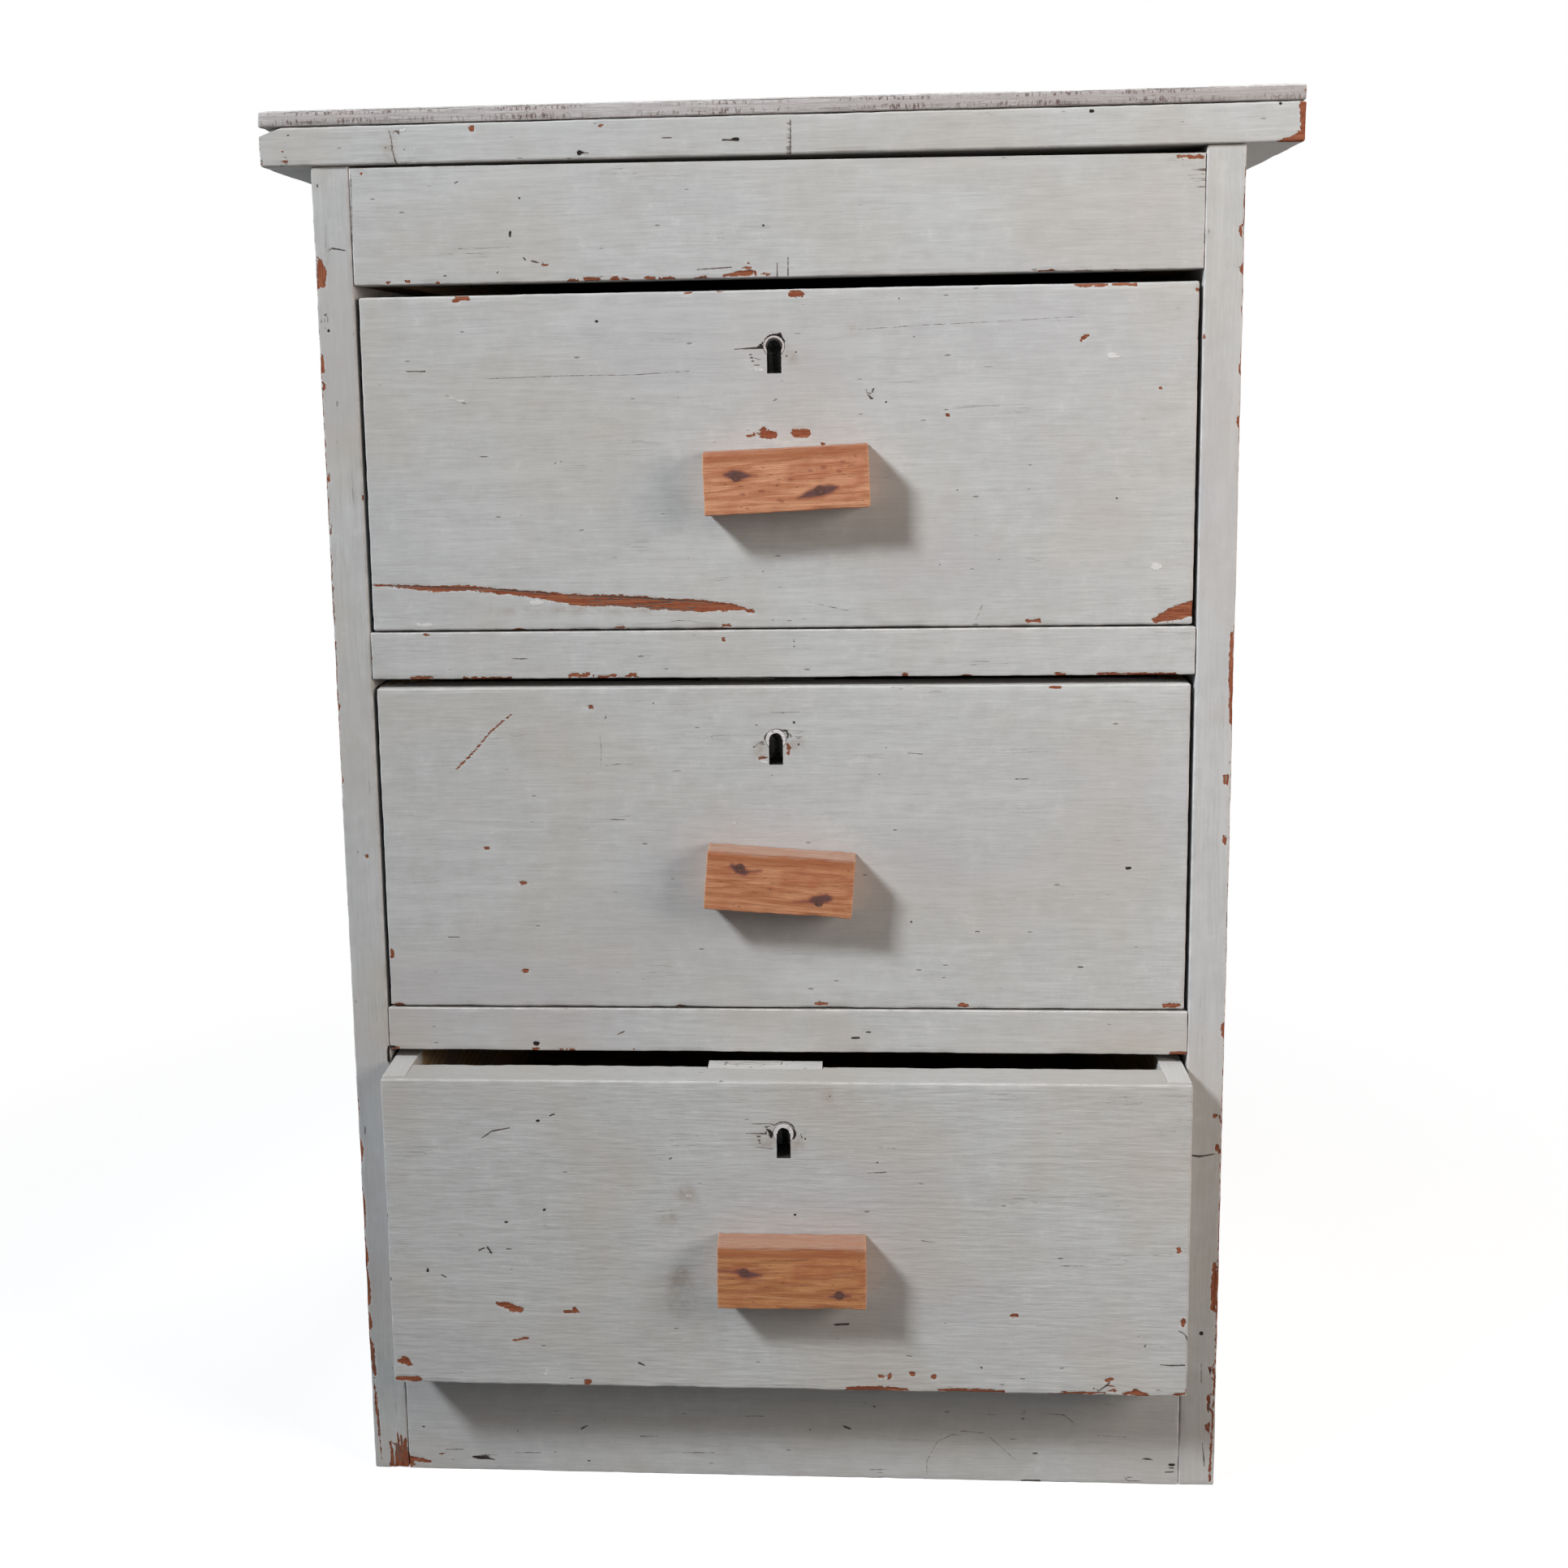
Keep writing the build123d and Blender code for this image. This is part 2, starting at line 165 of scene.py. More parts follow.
def timber(name, node, cell=(2.2, 2.2, 2.2), arris=1.2, crowd=1.0, back_plain=False, span=None):
    """A detailed board cut to the holes, grooves and rebates of its CAD node, or of a span of it."""
    low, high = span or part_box(node)
    skin = Vector((0.05, 0.05, 0.05)) * mm
    shape = board_shape(low + skin, high - skin, cell, arris * mm)
    if crowd > 1:
        start = low.y + (arris + 1) * mm
        flat = high.y - (arris + 1) * mm - start
        for vert in shape.verts:
            share = (vert.co.y - start) / flat
            if 0 < share < 1:
                vert.co.y = start + flat * share ** crowd
    if back_plain:
        back = [face for face in shape.faces if face.calc_center_median().y > high.y - 0.1 * mm]
        bmesh.ops.dissolve_faces(shape, faces=back)
    rough = from_shape(name, shape)
    cut = bmesh.new()
    cut.from_mesh(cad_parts[node].data)
    bmesh.ops.remove_doubles(cut, verts=cut.verts, dist=0.001 * mm)
    cutter = from_shape("cut", cut)
    trim = rough.modifiers.new("trim", "BOOLEAN")
    trim.operation = "INTERSECT"
    trim.object = cutter
    trim.solver = "MANIFOLD"
    view = bpy.context.evaluated_depsgraph_get()
    view.update()
    finished = bpy.data.meshes.new_from_object(rough.evaluated_get(view))
    bpy.data.objects.remove(rough)
    bpy.data.objects.remove(cutter)
    piece = new_object(name, finished)
    keep(piece, "log", [sum(map(ord, name)) * 37 % 900] * len(finished.vertices))
    return piece


def weather(piece, low, high, bare=(), dark=(), pale=(), stain=(), hollows=0.12, rounding=0.45):
    """Wears a board inwards, and keeps its chips, cracks, pale fillings and painted arris highlights,
    and stains as attributes.
    """
    points = points_of(piece)
    low, high = np.array(low), np.array(high)
    to_faces = np.minimum(points - low, high - points) / mm
    edge = np.sort(to_faces, axis=1)[:, 1]
    bare_field, bare_inside = nearest_mark(bare, points, low[1], 2.0)
    dark_field, dark_inside = nearest_mark(dark, points, low[1], 2.0)
    _, pale_inside = nearest_mark(pale, points, low[1], 4.0)
    _, stain_inside = nearest_mark(stain, points, low[1], 8.0)

    skin = 1.4
    arris_reach = 3
    inward = np.clip(1 - to_faces / skin, 0, 1) * np.where(points - low < high - points, 1, -1)
    inward /= np.maximum(np.linalg.norm(inward, axis=1, keepdims=True), 1)
    x, y, z = (points / mm).T
    sag = 0.5 + 0.3 * np.sin(x / 31 + z / 23 + 1) + 0.2 * np.sin(z / 9 - x / 47 + y / 13)
    wear = hollows * sag
    on_arris = np.flatnonzero(edge < arris_reach)
    worn = [noise.noise(Vector(points[i]) / (9 * mm)) + noise.noise(Vector(points[i]) / (40 * mm))
            for i in on_arris]
    from_arris = 1 - edge[on_arris] / arris_reach
    wear[on_arris] += rounding * np.clip(0.35 + np.array(worn), 0, 1.5) * from_arris
    wear += 0.3 * np.clip(bare_inside / 0.6, 0, 1)
    wear += np.clip(dark_field[:, 2] - 0.9, 0, 0.7) * np.clip(dark_inside / 0.5, 0, 1)
    wear -= 0.15 * np.clip(pale_inside / 0.5, 0, 1)
    points += inward * np.clip(wear, 0, None)[:, None] * mm
    piece.data.vertices.foreach_set("co", points.ravel())
    for title, values in (("bare", bare_field), ("dark", dark_field), ("edge", np.clip(edge, 0, 30)),
                          ("pale", pale_inside), ("stain", stain_inside)):
        keep(piece, title, values)
    piece.data.update()


def tone(code):
    """A colour that a node can use, from an sRGB hex value."""
    parts = [int(code[place:place + 2], 16) / 255 for place in (1, 3, 5)]
    linear = [part / 12.92 if part <= 0.04045 else ((part + 0.055) / 1.055) ** 2.4
              for part in parts]
    return (*linear, 1.0)


def feed(tree, node, links):
    """Joins each input named to another node, or sets it to a value."""
    for title, value in links.items():
        socket = node.inputs[title] if isinstance(title, int) else next(
            item for item in node.inputs if item.name == title and item.enabled)
        if isinstance(value, bpy.types.Node):
            value = next(item for item in value.outputs if item.enabled)
        if isinstance(value, bpy.types.NodeSocket):
            tree.links.new(value, socket)
        else:
            socket.default_value = value


def add(tree, kind, links=None, **settings):
    """A node with its settings and inputs."""
    node = tree.nodes.new("ShaderNode" + kind)
    for title, value in settings.items():
        setattr(node, title, value)
    feed(tree, node, links or {})
    return node


def new_material(name):
    """An empty material, with its node tree and its shader."""
    material = bpy.data.materials.new(name)
    material.use_nodes = True
    tree = material.node_tree
    tree.nodes.clear()
    shader = add(tree, "BsdfPrincipled")
    add(tree, "OutputMaterial", {"Surface": shader})
    return material, tree, shader


def calc(tree, operation, *values):
    """Arithmetic on nodes and numbers."""
    return add(tree, "Math", dict(enumerate(values)), operation=operation)


def ramp(tree, value, low, high, top=1.0, bottom=0.0):
    """A number that goes from bottom to top while a value goes from low to high."""
    return add(tree, "MapRange", {"Value": value, "From Min": low, "From Max": high,
                                  "To Min": bottom, "To Max": top})


def place_in_mm(tree):
    """The piece's own coordinates, in mm."""
    own = add(tree, "TexCoord").outputs["Object"]
    return add(tree, "VectorMath", {0: own, "Scale": 1 / mm}, operation="SCALE")


def stretched(tree, place, grain, length, width, shift=0.0):
    """Coordinates in mm for a pattern that is length long with the grain and width across it."""
    sizes = [1 / width] * 3
    sizes[grain] = 1 / length
    return add(tree, "Mapping", {"Vector": place, "Scale": sizes, "Location": (shift,) * 3})


def clouds(tree, place, detail, rough=0.5, size=1.0):
    """Noise whose lumps have a size in mm, or the size of stretched coordinates."""
    return add(tree, "TexNoise", {"Vector": place, "Scale": 1 / size, "Detail": detail,
                                  "Roughness": rough})


def spots(tree, place, size, channel, rare, radius, rim):
    """Round spots of many sizes, one to a cell at most. The higher rare is, the fewer there are."""
    cells = add(tree, "TexVoronoi", {"Vector": place, "Scale": 1 / size})
    chance = add(tree, "SeparateColor", {0: cells.outputs["Color"]}).outputs[channel]
    inside = calc(tree, "SUBTRACT", ramp(tree, chance, rare, 1.0, radius), cells.outputs["Distance"])
    return ramp(tree, inside, -0.03, rim)


def kept(tree, title, output="Fac"):
    """An attribute of the piece, such as those that weather keeps."""
    return add(tree, "Attribute", attribute_name=title).outputs[output]


def within_mark(tree, title):
    """How far inside the nearest mark a point lies, and the mark's half thickness, in mm."""
    steps = add(tree, "SeparateXYZ", {0: kept(tree, title, "Vector")})
    flat = add(tree, "CombineXYZ", {0: steps.outputs[0], 1: steps.outputs[1]})
    away = add(tree, "VectorMath", {0: flat}, operation="LENGTH").outputs["Value"]
    return calc(tree, "SUBTRACT", steps.outputs[2], away), steps.outputs[2]


def layered(tree, colour, *coats):
    """A colour with others laid over it, each with the share of it that shows, or with a value and
    the numbers by which a ramp turns it into that share."""
    for coat, share, *limits in coats:
        share = ramp(tree, share, *limits) if limits else share
        first, second = [tone(item) if isinstance(item, str) else item for item in (colour, coat)]
        colour = add(tree, "Mix", {"Factor": share, 6: first, 7: second}, data_type="RGBA").outputs[2]
    return colour


def summed(tree, *parts):
    """The sum of nodes, each times a number."""
    total = 0.0
    for source, share in parts:
        total = calc(tree, "MULTIPLY_ADD", source, share, total)
    return total


def dress(tree, shader, colour, height, others, distance=mm):
    """Gives a shader its colour, its relief and its other inputs."""
    relief = add(tree, "Bump", {"Height": height, "Distance": distance})
    feed(tree, shader, {"Base Color": colour, "Normal": relief, **others})


def grey_oil_paint(name, grain, warmth=0.25, grown=1.0):
    """Old light grey oil paint, brushed on pine, satin and slightly soiled. The wood's grain has
    risen through it in fine ridges, and it has cracked, dented and chipped to the red first coat."""
    material, tree, shader = new_material(name)
    place = place_in_mm(tree)
    fibre = clouds(tree, stretched(tree, place, grain, 24, 1.2), 4, 0.6)
    streak = clouds(tree, stretched(tree, place, grain, 90, 6, 7), 3)
    swell = clouds(tree, stretched(tree, place, grain, 380, 46, 3), 1)
    rings = calc(tree, "SINE", calc(tree, "MULTIPLY", swell, 80))
    mottle = clouds(tree, place, 4, size=95)
    cast = clouds(tree, stretched(tree, place, grain, 190, 90, 2), 2)
    fine = clouds(tree, stretched(tree, place, grain, 5, 1.7, 11), 4, 0.7)
    rub = clouds(tree, place, 5, 0.7, 11)

    # Chips: the strokes' own distance in mm, made ragged along the grain
    ragged = ramp(tree, fine, 0.3, 0.7, 0.9, -0.9)
    chip_depth, _ = within_mark(tree, "bare")
    crack_depth, crack_breadth = within_mark(tree, "dark")
    edge = kept(tree, "edge")
    arris_loss = calc(tree, "SUBTRACT", ramp(tree, rub, 0.62, 0.80, 2.2, -0.6), edge)
    bare_depth = calc(tree, "MAXIMUM", calc(tree, "ADD", chip_depth, ragged), arris_loss)
    bare = ramp(tree, bare_depth, -0.08, 0.10)
    # The pale band round each chip is a painted highlight on the lit edge of the paint's step, with
    # partly paler paint at the break.
    rim = ramp(tree, bare_depth, -0.8, -0.1)
    crack = ramp(tree, calc(tree, "MULTIPLY_ADD", ragged, 0.30, crack_depth), -0.15, 0.18)

    # Cracks as fine as a hair, short dents along the grain, and small raised specks painted light as
    # glints
    hair = clouds(tree, stretched(tree, place, grain, 65, 2.6, 5), 3)
    off_line = calc(tree, "ABSOLUTE", calc(tree, "SUBTRACT", hair, 0.5))
    cracked = ramp(tree, clouds(tree, stretched(tree, place, grain, 60, 14, 9), 2), 0.63, 0.74)
    hairline = calc(tree, "MULTIPLY", ramp(tree, off_line, 0.008, 0.002), cracked)
    bend = add(tree, "CombineXYZ", {2: calc(tree, "MULTIPLY", fine, 0.9)})
    nudged = add(tree, "VectorMath", {0: place, 1: bend})
    dent = spots(tree, stretched(tree, nudged, grain, 17, 6.5), 1, 0, 0.68, 0.11, 0.04)
    painted_glint = spots(tree, place, 9, 1, 0.88, 0.10, 0.03)

    soiled = add(tree, "MapRange", {"Value": kept(tree, "stain"), "From Min": -5.0, "From Max": 4.0,
                                    "To Max": 0.8}, interpolation_type="SMOOTHSTEP")
    # Pale marks are fillings, and along some arrises painted highlights; both show light and slightly
    # raised.
    filling_and_highlight = ramp(tree, calc(tree, "ADD", kept(tree, "pale"), ragged), -0.1, 0.15)
    grainy = clouds(tree, stretched(tree, place, grain, 26, 0.9, 2), 3)
    # The chips' wood darkens towards their edges as painted shade under the step of the paint.
    wood = layered(tree, "#84472F", ("#A4694C", grainy, 0.42, 0.68, 0.85),
                   ("#552C23", fine, 0.50, 0.72, 0.75), ("#4C2A22", bare_depth, 0.32, 0.0, 0.6))
    # Faces that look upwards are darkened towards mid grey as painted shade, like the tops of the rails
    # and drawer fronts seen in the gaps.
    upward_painted_shade = add(tree, "SeparateXYZ", {0: add(tree, "NewGeometry").outputs["Normal"]}).outputs[2]
    black = layered(tree, "#6B625B", ("#1B1310", crack_breadth, 0.25, 0.75))
    # A patchy near-white line along the arrises is a painted highlight.
    arris_highlight = calc(tree, "MULTIPLY", ramp(tree, edge, 1.1, 0.5, 0.9), ramp(tree, rub, 0.60, 0.42))
    paint = layered(tree, "#C0C1C0", ("#B4B5B4", fibre, 0.35, 0.68), ("#ACACAA", rub, 0.46, 0.74, 0.6),
                    ("#CDCDCC", rub, 0.42, 0.26, 0.6), ("#C4C5C4", streak, 0.50, 0.74, 0.7),
                    ("#B5ADA3", mottle, 0.44, 0.72, warmth * 2), ("#B3B1B6", cast, 0.50, 0.74, 0.45),
                    ("#D3D3D1", calc(tree, "MULTIPLY", painted_glint, 0.6)),
                    ("#9A8C80", calc(tree, "MULTIPLY", soiled, ramp(tree, rub, 0.35, 0.65, 0.9))),
                    ("#DAD6D4", arris_highlight), ("#86817D", calc(tree, "MULTIPLY", hairline, 0.85)),
                    ("#7C756F", calc(tree, "MULTIPLY", dent, 0.65)),
                    ("#D4D3D1", calc(tree, "MULTIPLY", filling_and_highlight, 0.85)),
                    ("#CBC7C1", calc(tree, "MULTIPLY", rim, 0.6)), (wood, bare),
                    ("#8F8C88", upward_painted_shade, 0.5, 0.95, 0.45), (black, crack))

    # Relief in mm, from the paint's own skin down to the open grain
    ripple = clouds(tree, stretched(tree, place, grain, 17, 2.6, 6), 2, 0.45)
    deep = calc(tree, "MULTIPLY", crack, ramp(tree, crack_breadth, 0.15, 1.0, -0.9))
    height = summed(tree, (fibre, 0.06 * grown), (rings, 0.010 * grown), (streak, 0.05 * grown),
                    (ripple, 0.14 * grown), (hairline, -0.12), (dent, -0.22), (painted_glint, 0.06),
                    (bare, -0.28), (deep, 1.0), (filling_and_highlight, 0.10), (grainy, 0.04))
    gloss = ramp(tree, fibre, 0.3, 0.7, 0.70, 0.56)
    dull = add(tree, "Mix", {"Factor": bare, "A": gloss, "B": 0.85})
    dress(tree, shader, paint, height, {"Roughness": dull, "Specular IOR Level": 0.2})
    return material


def finish_piece(piece, body, material, slot, *nodes):
    """Gives a piece its material, and puts it on its body for its CAD nodes, which it hides. The slot
    is not used.
    """
    recoat(piece, material)
    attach(piece, body)
    if nodes:
        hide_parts(*nodes)


paint_upright = grey_oil_paint("grey oil paint on upright pine", 2, 0.3)
paint_across = grey_oil_paint("grey oil paint on pine laid across", 0)

left_side_bare = [
    [(382, 214, 0.1), (393, 420, 0.2)], [(394, 430, 0.3), (412, 770, 0.3)], [(413, 790, 0.4),
     (432, 1240, 0.5)], [(433, 1250, 0.6), (456, 1660, 0.5)], [(457, 1670, 0.5), (471, 1800, 0.4)],
    [(394, 322, 3), (396, 336, 6.5), (396, 350, 5)], [(396, 436, 1.5), (396.5, 448, 2.6),
     (398, 458, 2)], (400, 475, 3, 10), (405, 590, 4, 9), (448, 613, 4, 6), (417, 870, 4, 8),
    (452, 1055, 5, 5), (409, 655, 2.5, 12), (421, 960, 3, 10), (427, 1110, 3, 16), [(437, 1348, 2.5),
     (439, 1366, 3.5), (440, 1385, 2)], [(441, 1400, 2), (443, 1415, 4.5), (444, 1429, 3)],
    [(446, 1472, 2.4), (447, 1494, 3.6), (448, 1513, 1.5)], [(449, 1528, 1.5), (451, 1545, 2.4),
     (452, 1558, 1.5)], [(451, 1566, 2), (453, 1585, 3.4), (455, 1606, 2)], [(455, 1620, 1.8),
     (457, 1634, 2.4)], [(458, 1655, 1.8), (460, 1675, 2.6), (462, 1694, 1.5)], [(463, 1716, 1.2),
     (465, 1742, 1.8), (467, 1760, 1)], [(481, 1776, 0.8), (483, 1792, 2), (484, 1808, 3)],
    [(490, 1764, 0.8), (491, 1784, 2.4), (492, 1808, 4.5)], [(499, 1772, 1.5), (500, 1788, 3.4),
     (500, 1808, 5)],
]
left_side_dark = [
    (400, 388, 7, 1.2, -20), (404, 394, 1.2, 6), (396, 396, 1.2, 6), (405, 408, 3, 4), [(404, 310, 0.8),
     (408, 306, 1.0), (426, 309, 0.8)], (391, 229, 2, 5), (450, 1392, 1.2, 12), (489, 1790, 1.0, 26),
    (495, 1786, 0.9, 30), (501, 1794, 0.8, 22), [(479, 1291, 2), (480, 1306, 3)], [(445, 1486, 0.9),
     (447, 1512, 0.6)], [(451, 1570, 0.6), (453, 1596, 0.9)], [(460, 1664, 0.5), (463, 1690, 0.7)],
    [(465, 1730, 0.5), (469, 1770, 0.6)], (486, 1798, 0.8, 14),
]
right_side_bare = [
    [(1535, 200, 0.2), (1531, 420, 0.4)], [(1530, 430, 0.4), (1524, 760, 0.5)], [(1522, 770, 0.8),
     (1511, 1240, 0.7)], [(1510, 1250, 0.9), (1498, 1680, 1.0)], [(1497, 1690, 1.2), (1490, 1825, 1.2)],
    (1529, 283, 4, 14), (1530, 332, 4, 10), (1531, 381, 4, 10), (1483, 415, 4, 5), (1529, 453, 5, 14),
    (1527, 520, 5, 16), [(1518, 780, 2), (1517, 835, 3), (1517, 890, 2)], (1509, 960, 4, 12),
    (1509, 1035, 4, 12), (1507, 1270, 5, 16), (1497, 1375, 5, 5), (1500, 1415, 5, 10),
    [(1497, 1558, 2.5), (1496, 1585, 4), (1495, 1612, 3)], (1491, 1690, 3, 12), (1489, 1728, 4, 22),
    (1486, 1758, 2.5, 10),
]
right_side_dark = [
    [(1462, 1423, 1), (1478, 1425, 1.2), (1497, 1422, 0.6)], (1512, 1130, 1, 18), (1478, 560, 1, 22),
    (1480, 1692, 0.8, 24), [(1481, 1778, 0.4), (1483, 1795, 0.9), (1484, 1808, 0.5)],
    (1489, 1734, 1.4, 16), (1491, 1689, 2.4, 7), (1480, 1643, 5, 5), (1478, 1770, 3, 1),
]
for side, bare, dark in (("left", left_side_bare, left_side_dark),
                         ("right", right_side_bare, right_side_dark)):
    node = "carcass_side_" + side
    upright = timber("side_board_" + side, node, (2.0, 7.0, 2.2), 1.2, 1.6)
    weather(upright, *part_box(node), bare, dark)
    finish_piece(upright, "carcass", paint_upright, "grey_paint", node)


# Plinth and rails. Pine rails nailed between the side boards, flush with their front edges and
# painted with them. The lower rail has a warmer tint, and the top rail is chipped below.
paint_warm = grey_oil_paint("grey oil paint on pine, yellowed", 0, 0.42)

plinth_bare = [
    [(501, 1790, 2), (503, 1797, 4), (506, 1804, 4)], [(506, 1797, 3), (522, 1799, 2.5),
     (533, 1802, 1)], (545, 1791, 9, 0.8),
]
plinth_dark = [
    [(583, 1795, 1.0), (590, 1796, 2.2), (600, 1796.5, 1.4), (610, 1799, 0.4)], (604, 1793, 18, 0.8, 3),
    [(716, 1761, 1.0), (720, 1758, 1.0), (726, 1756, 0.5)], (522, 1758, 3.4, 2), (726, 1800, 4, 2),
    [(1038, 1756.5, 0.6), (1043, 1759, 1.6), (1049, 1761, 0.5)], (998, 1762, 4, 1.2, -40),
    (638, 1763, 3.4, 1.4), (1077, 1733, 4, 1.8, 20), (1221, 1743, 12, 1.0, 4), [(1290, 1742, 0.4),
     (1310, 1743, 0.5), (1324, 1754, 0.4)], (1276, 1791, 8, 2), (1249, 1773.5, 12, 0.8),
    (1262, 1739, 4, 1), (1261, 1748, 5, 2), [(1406, 1798, 0.4), (1413, 1797.5, 1.3), (1421, 1799, 0.4)],
    (1417, 1802.5, 8, 0.7), (1444, 1805, 9, 3), (1440, 1814, 12, 1.4, -4), (1391, 1821, 10, 2),
    (1398, 1825, 18, 0.9), (1270, 1824.5, 26, 2.2), (1287, 1827, 20, 1.0), (1130, 1823, 24, 1.4),
    (1085, 1821, 10, 1.2), (1017, 1820, 20, 0.9), (560, 1786, 26, 0.8), (1080, 1811, 26, 0.6),
    (1170, 1768, 30, 0.6, 4), (1370, 1770, 40, 0.7, 4), [(1142, 1821, 0.2), (1142, 1800, 0.3),
     (1155, 1776, 0.3), (1185, 1763, 0.2), (1214, 1766, 0.3), (1238, 1787, 0.3), (1252, 1800, 0.2)],
    (800, 1770, 24, 0.8), (650, 1790, 34, 0.8), (860, 1790, 40, 0.7), (930, 1745, 26, 0.7),
]
lower_rail_bare = [
    (1452, 1299, 23, 6), (486, 1291, 12, 3), (660, 1292, 10, 3), (705, 1293, 8, 3), (692, 1292.5, 6, 3),
    (780, 1293, 6, 2.5),
]
lower_rail_dark = [
    (661, 1286, 8, 5), (1054, 1279, 11, 2.5), (1070, 1272, 6, 2), (765, 1273, 12, 1.2, -25),
    (484, 1290, 8, 3),
]
upper_rail_bare = [
    (520, 835.5, 30, 4), (600, 836, 60, 3), (707, 832, 16, 5, -10), (722, 832, 12, 5, -15),
    (748, 833.5, 22, 3, -8), (757, 831.5, 5, 4), (778, 833, 16, 3, -8), (780, 831, 6, 4),
    (1115, 831.5, 7, 6), (1190, 832.5, 14, 3), (1306, 831, 14, 3), (1400, 830.5, 100, 3),
    (891, 788, 6, 4), (526, 782, 8, 3),
]
top_rail_bare = [
    (705, 346.5, 12, 5), (729, 344.5, 20, 7), (758, 343.5, 12, 6), (770, 345, 10, 4), (801, 343, 13, 6),
    (824, 344, 16, 5), (864, 343, 16, 4, -6), (897, 339, 14, 4), (916, 337, 24, 7, -5),
    (943, 337.5, 14, 3), (921, 325, 8, 2), (478.7, 348.6, 5, 4), (502.3, 348, 7, 4), (539, 348, 6, 4),
    (444.3, 214, 5, 4), (1467, 193, 34, 4), (671, 326, 9, 3), (1290, 334, 22, 3), (1335, 335, 26, 3),
    (1382, 334, 18, 3),
]
top_rail_dark = [
    (628.5, 288.5, 3, 8), (640, 244, 3, 2.5), (646, 319, 6, 2, 40), (660, 323, 10, 2, 15),
    (613, 336, 5, 1.5, -50), (562, 225, 6, 1.5, -30), (940.7, 278, 3, 3), (548, 340, 6, 2),
    (957.7, 332, 1.4, 18), (971, 329, 1.4, 24), (425, 309, 6, 2), (880, 331, 46, 1.2, -4),
    [(432, 214, 0.5), (433, 262, 0.6), (434, 300, 0.4)], [(1466, 209, 0.1), (1486, 208, 0.6)],
    [(1462, 216, 0.1), (1486, 214, 0.5)], [(1470, 224, 0.1), (1486, 222, 0.5)], [(1472, 231, 0.1),
     (1485, 230, 0.5)], (1484.5, 298, 3, 1.6, -60),
]
rails = [
    ("plinth_rail", paint_across, plinth_bare, plinth_dark, []),
    ("lower_drawer_rail", paint_warm, lower_rail_bare, lower_rail_dark, []),
    ("upper_drawer_rail", paint_across, upper_rail_bare,
     [(640, 812, 20, 1.2), (978, 789, 3, 1.2, -40), (978.5, 796, 1.2, 3)], []),
    ("top_rail", paint_across, top_rail_bare, top_rail_dark, [(936, 288, 4, 4)]),
]
for node, material, bare, dark, pale in rails:
    rail = timber(node + "_board", node, (2.2, 3.0, 2.0), 1.0)
    weather(rail, *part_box(node), bare, dark, pale, rounding=0.35)
    finish_piece(rail, "carcass", material, "grey_paint", node)


# Runners, kickers and back boards. Sawn softwood that was never painted, gone brown and dusty
# with age. The runners carry the drawers' sides, and the kickers keep the top one level.
ring_spacing = 6.5


def bare_softwood(name, grain, light, deep, painted_back=None):
    """Bare pine or spruce, planed and unfinished: pale early wood between brown late-wood lines,
    dusty and matt. Where a face was painted at its front end, the grey paint ends raggedly."""
    material, tree, shader = new_material(name)
    unmoved = place_in_mm(tree)
    place = add(tree, "VectorMath", {0: unmoved, 1: kept(tree, "log", "Vector")})
    drift = clouds(tree, stretched(tree, place, grain, 620, 80), 2)
    steps = add(tree, "SeparateXYZ", {0: place})
    one, other = [steps.outputs[axis] for axis in range(3) if axis != grain]
    rings = calc(tree, "MULTIPLY_ADD", drift, 110, calc(tree, "ADD", one, other))
    bands = calc(tree, "SINE", calc(tree, "MULTIPLY", rings, math.tau / ring_spacing))
    fibre = clouds(tree, stretched(tree, place, grain, 30, 0.8, 4), 4, 0.65)
    dust = clouds(tree, place, 4, size=60)
    wood = layered(tree, light, (deep, bands, -0.1, 1.0, 0.6), ("#5C432C", fibre, 0.5, 0.75, 0.6),
                   ("#8F857A", dust, 0.42, 0.7, 0.5))
    if painted_back is not None:
        depth = add(tree, "SeparateXYZ", {0: unmoved}).outputs[1]
        fray = calc(tree, "MULTIPLY_ADD", fibre, 26, depth)
        coat = layered(tree, "#C2C2C0", ("#A5A3A0", fibre))
        wood = layered(tree, wood, (coat, fray, painted_back + 1.5, painted_back))
    dress(tree, shader, wood, summed(tree, (fibre, 0.25), (bands, 0.03)), {"Roughness": 0.78})
    return material


softwood_deep = bare_softwood("aged softwood, grain front to back", 1, "#A98A66", "#7B5B3E")
softwood_across = bare_softwood("aged softwood, grain across", 0, "#9E8160", "#6F5138")
strips = [name + "_" + side for name in ("lower_runner", "middle_runner", "upper_runner",
                                         "upper_kicker") for side in ("left", "right")]
for node in strips:
    strip = timber(node + "_strip", node, (6, 30, 6), 0.8)
    weather(strip, *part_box(node), hollows=0.15, rounding=0.3)
    finish_piece(strip, "carcass", softwood_deep, "inner_softwood", node)
back_board_count = 5
back_board_gap = 0.6 * mm
low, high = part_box("back_boards")
pitch = (high.z - low.z + back_board_gap) / back_board_count
for row in range(back_board_count):
    start = Vector((low.x, low.y, low.z + row * pitch))
    end = Vector((high.x, high.y, start.z + pitch - back_board_gap))
    plank = timber("back_board_" + str(row + 1), "back_boards", (6, 6, 5), 1.0, span=(start, end))
    weather(plank, start, end, hollows=0.15, rounding=0.5)
    finish_piece(plank, "carcass", softwood_across, "inner_softwood", "back_boards")


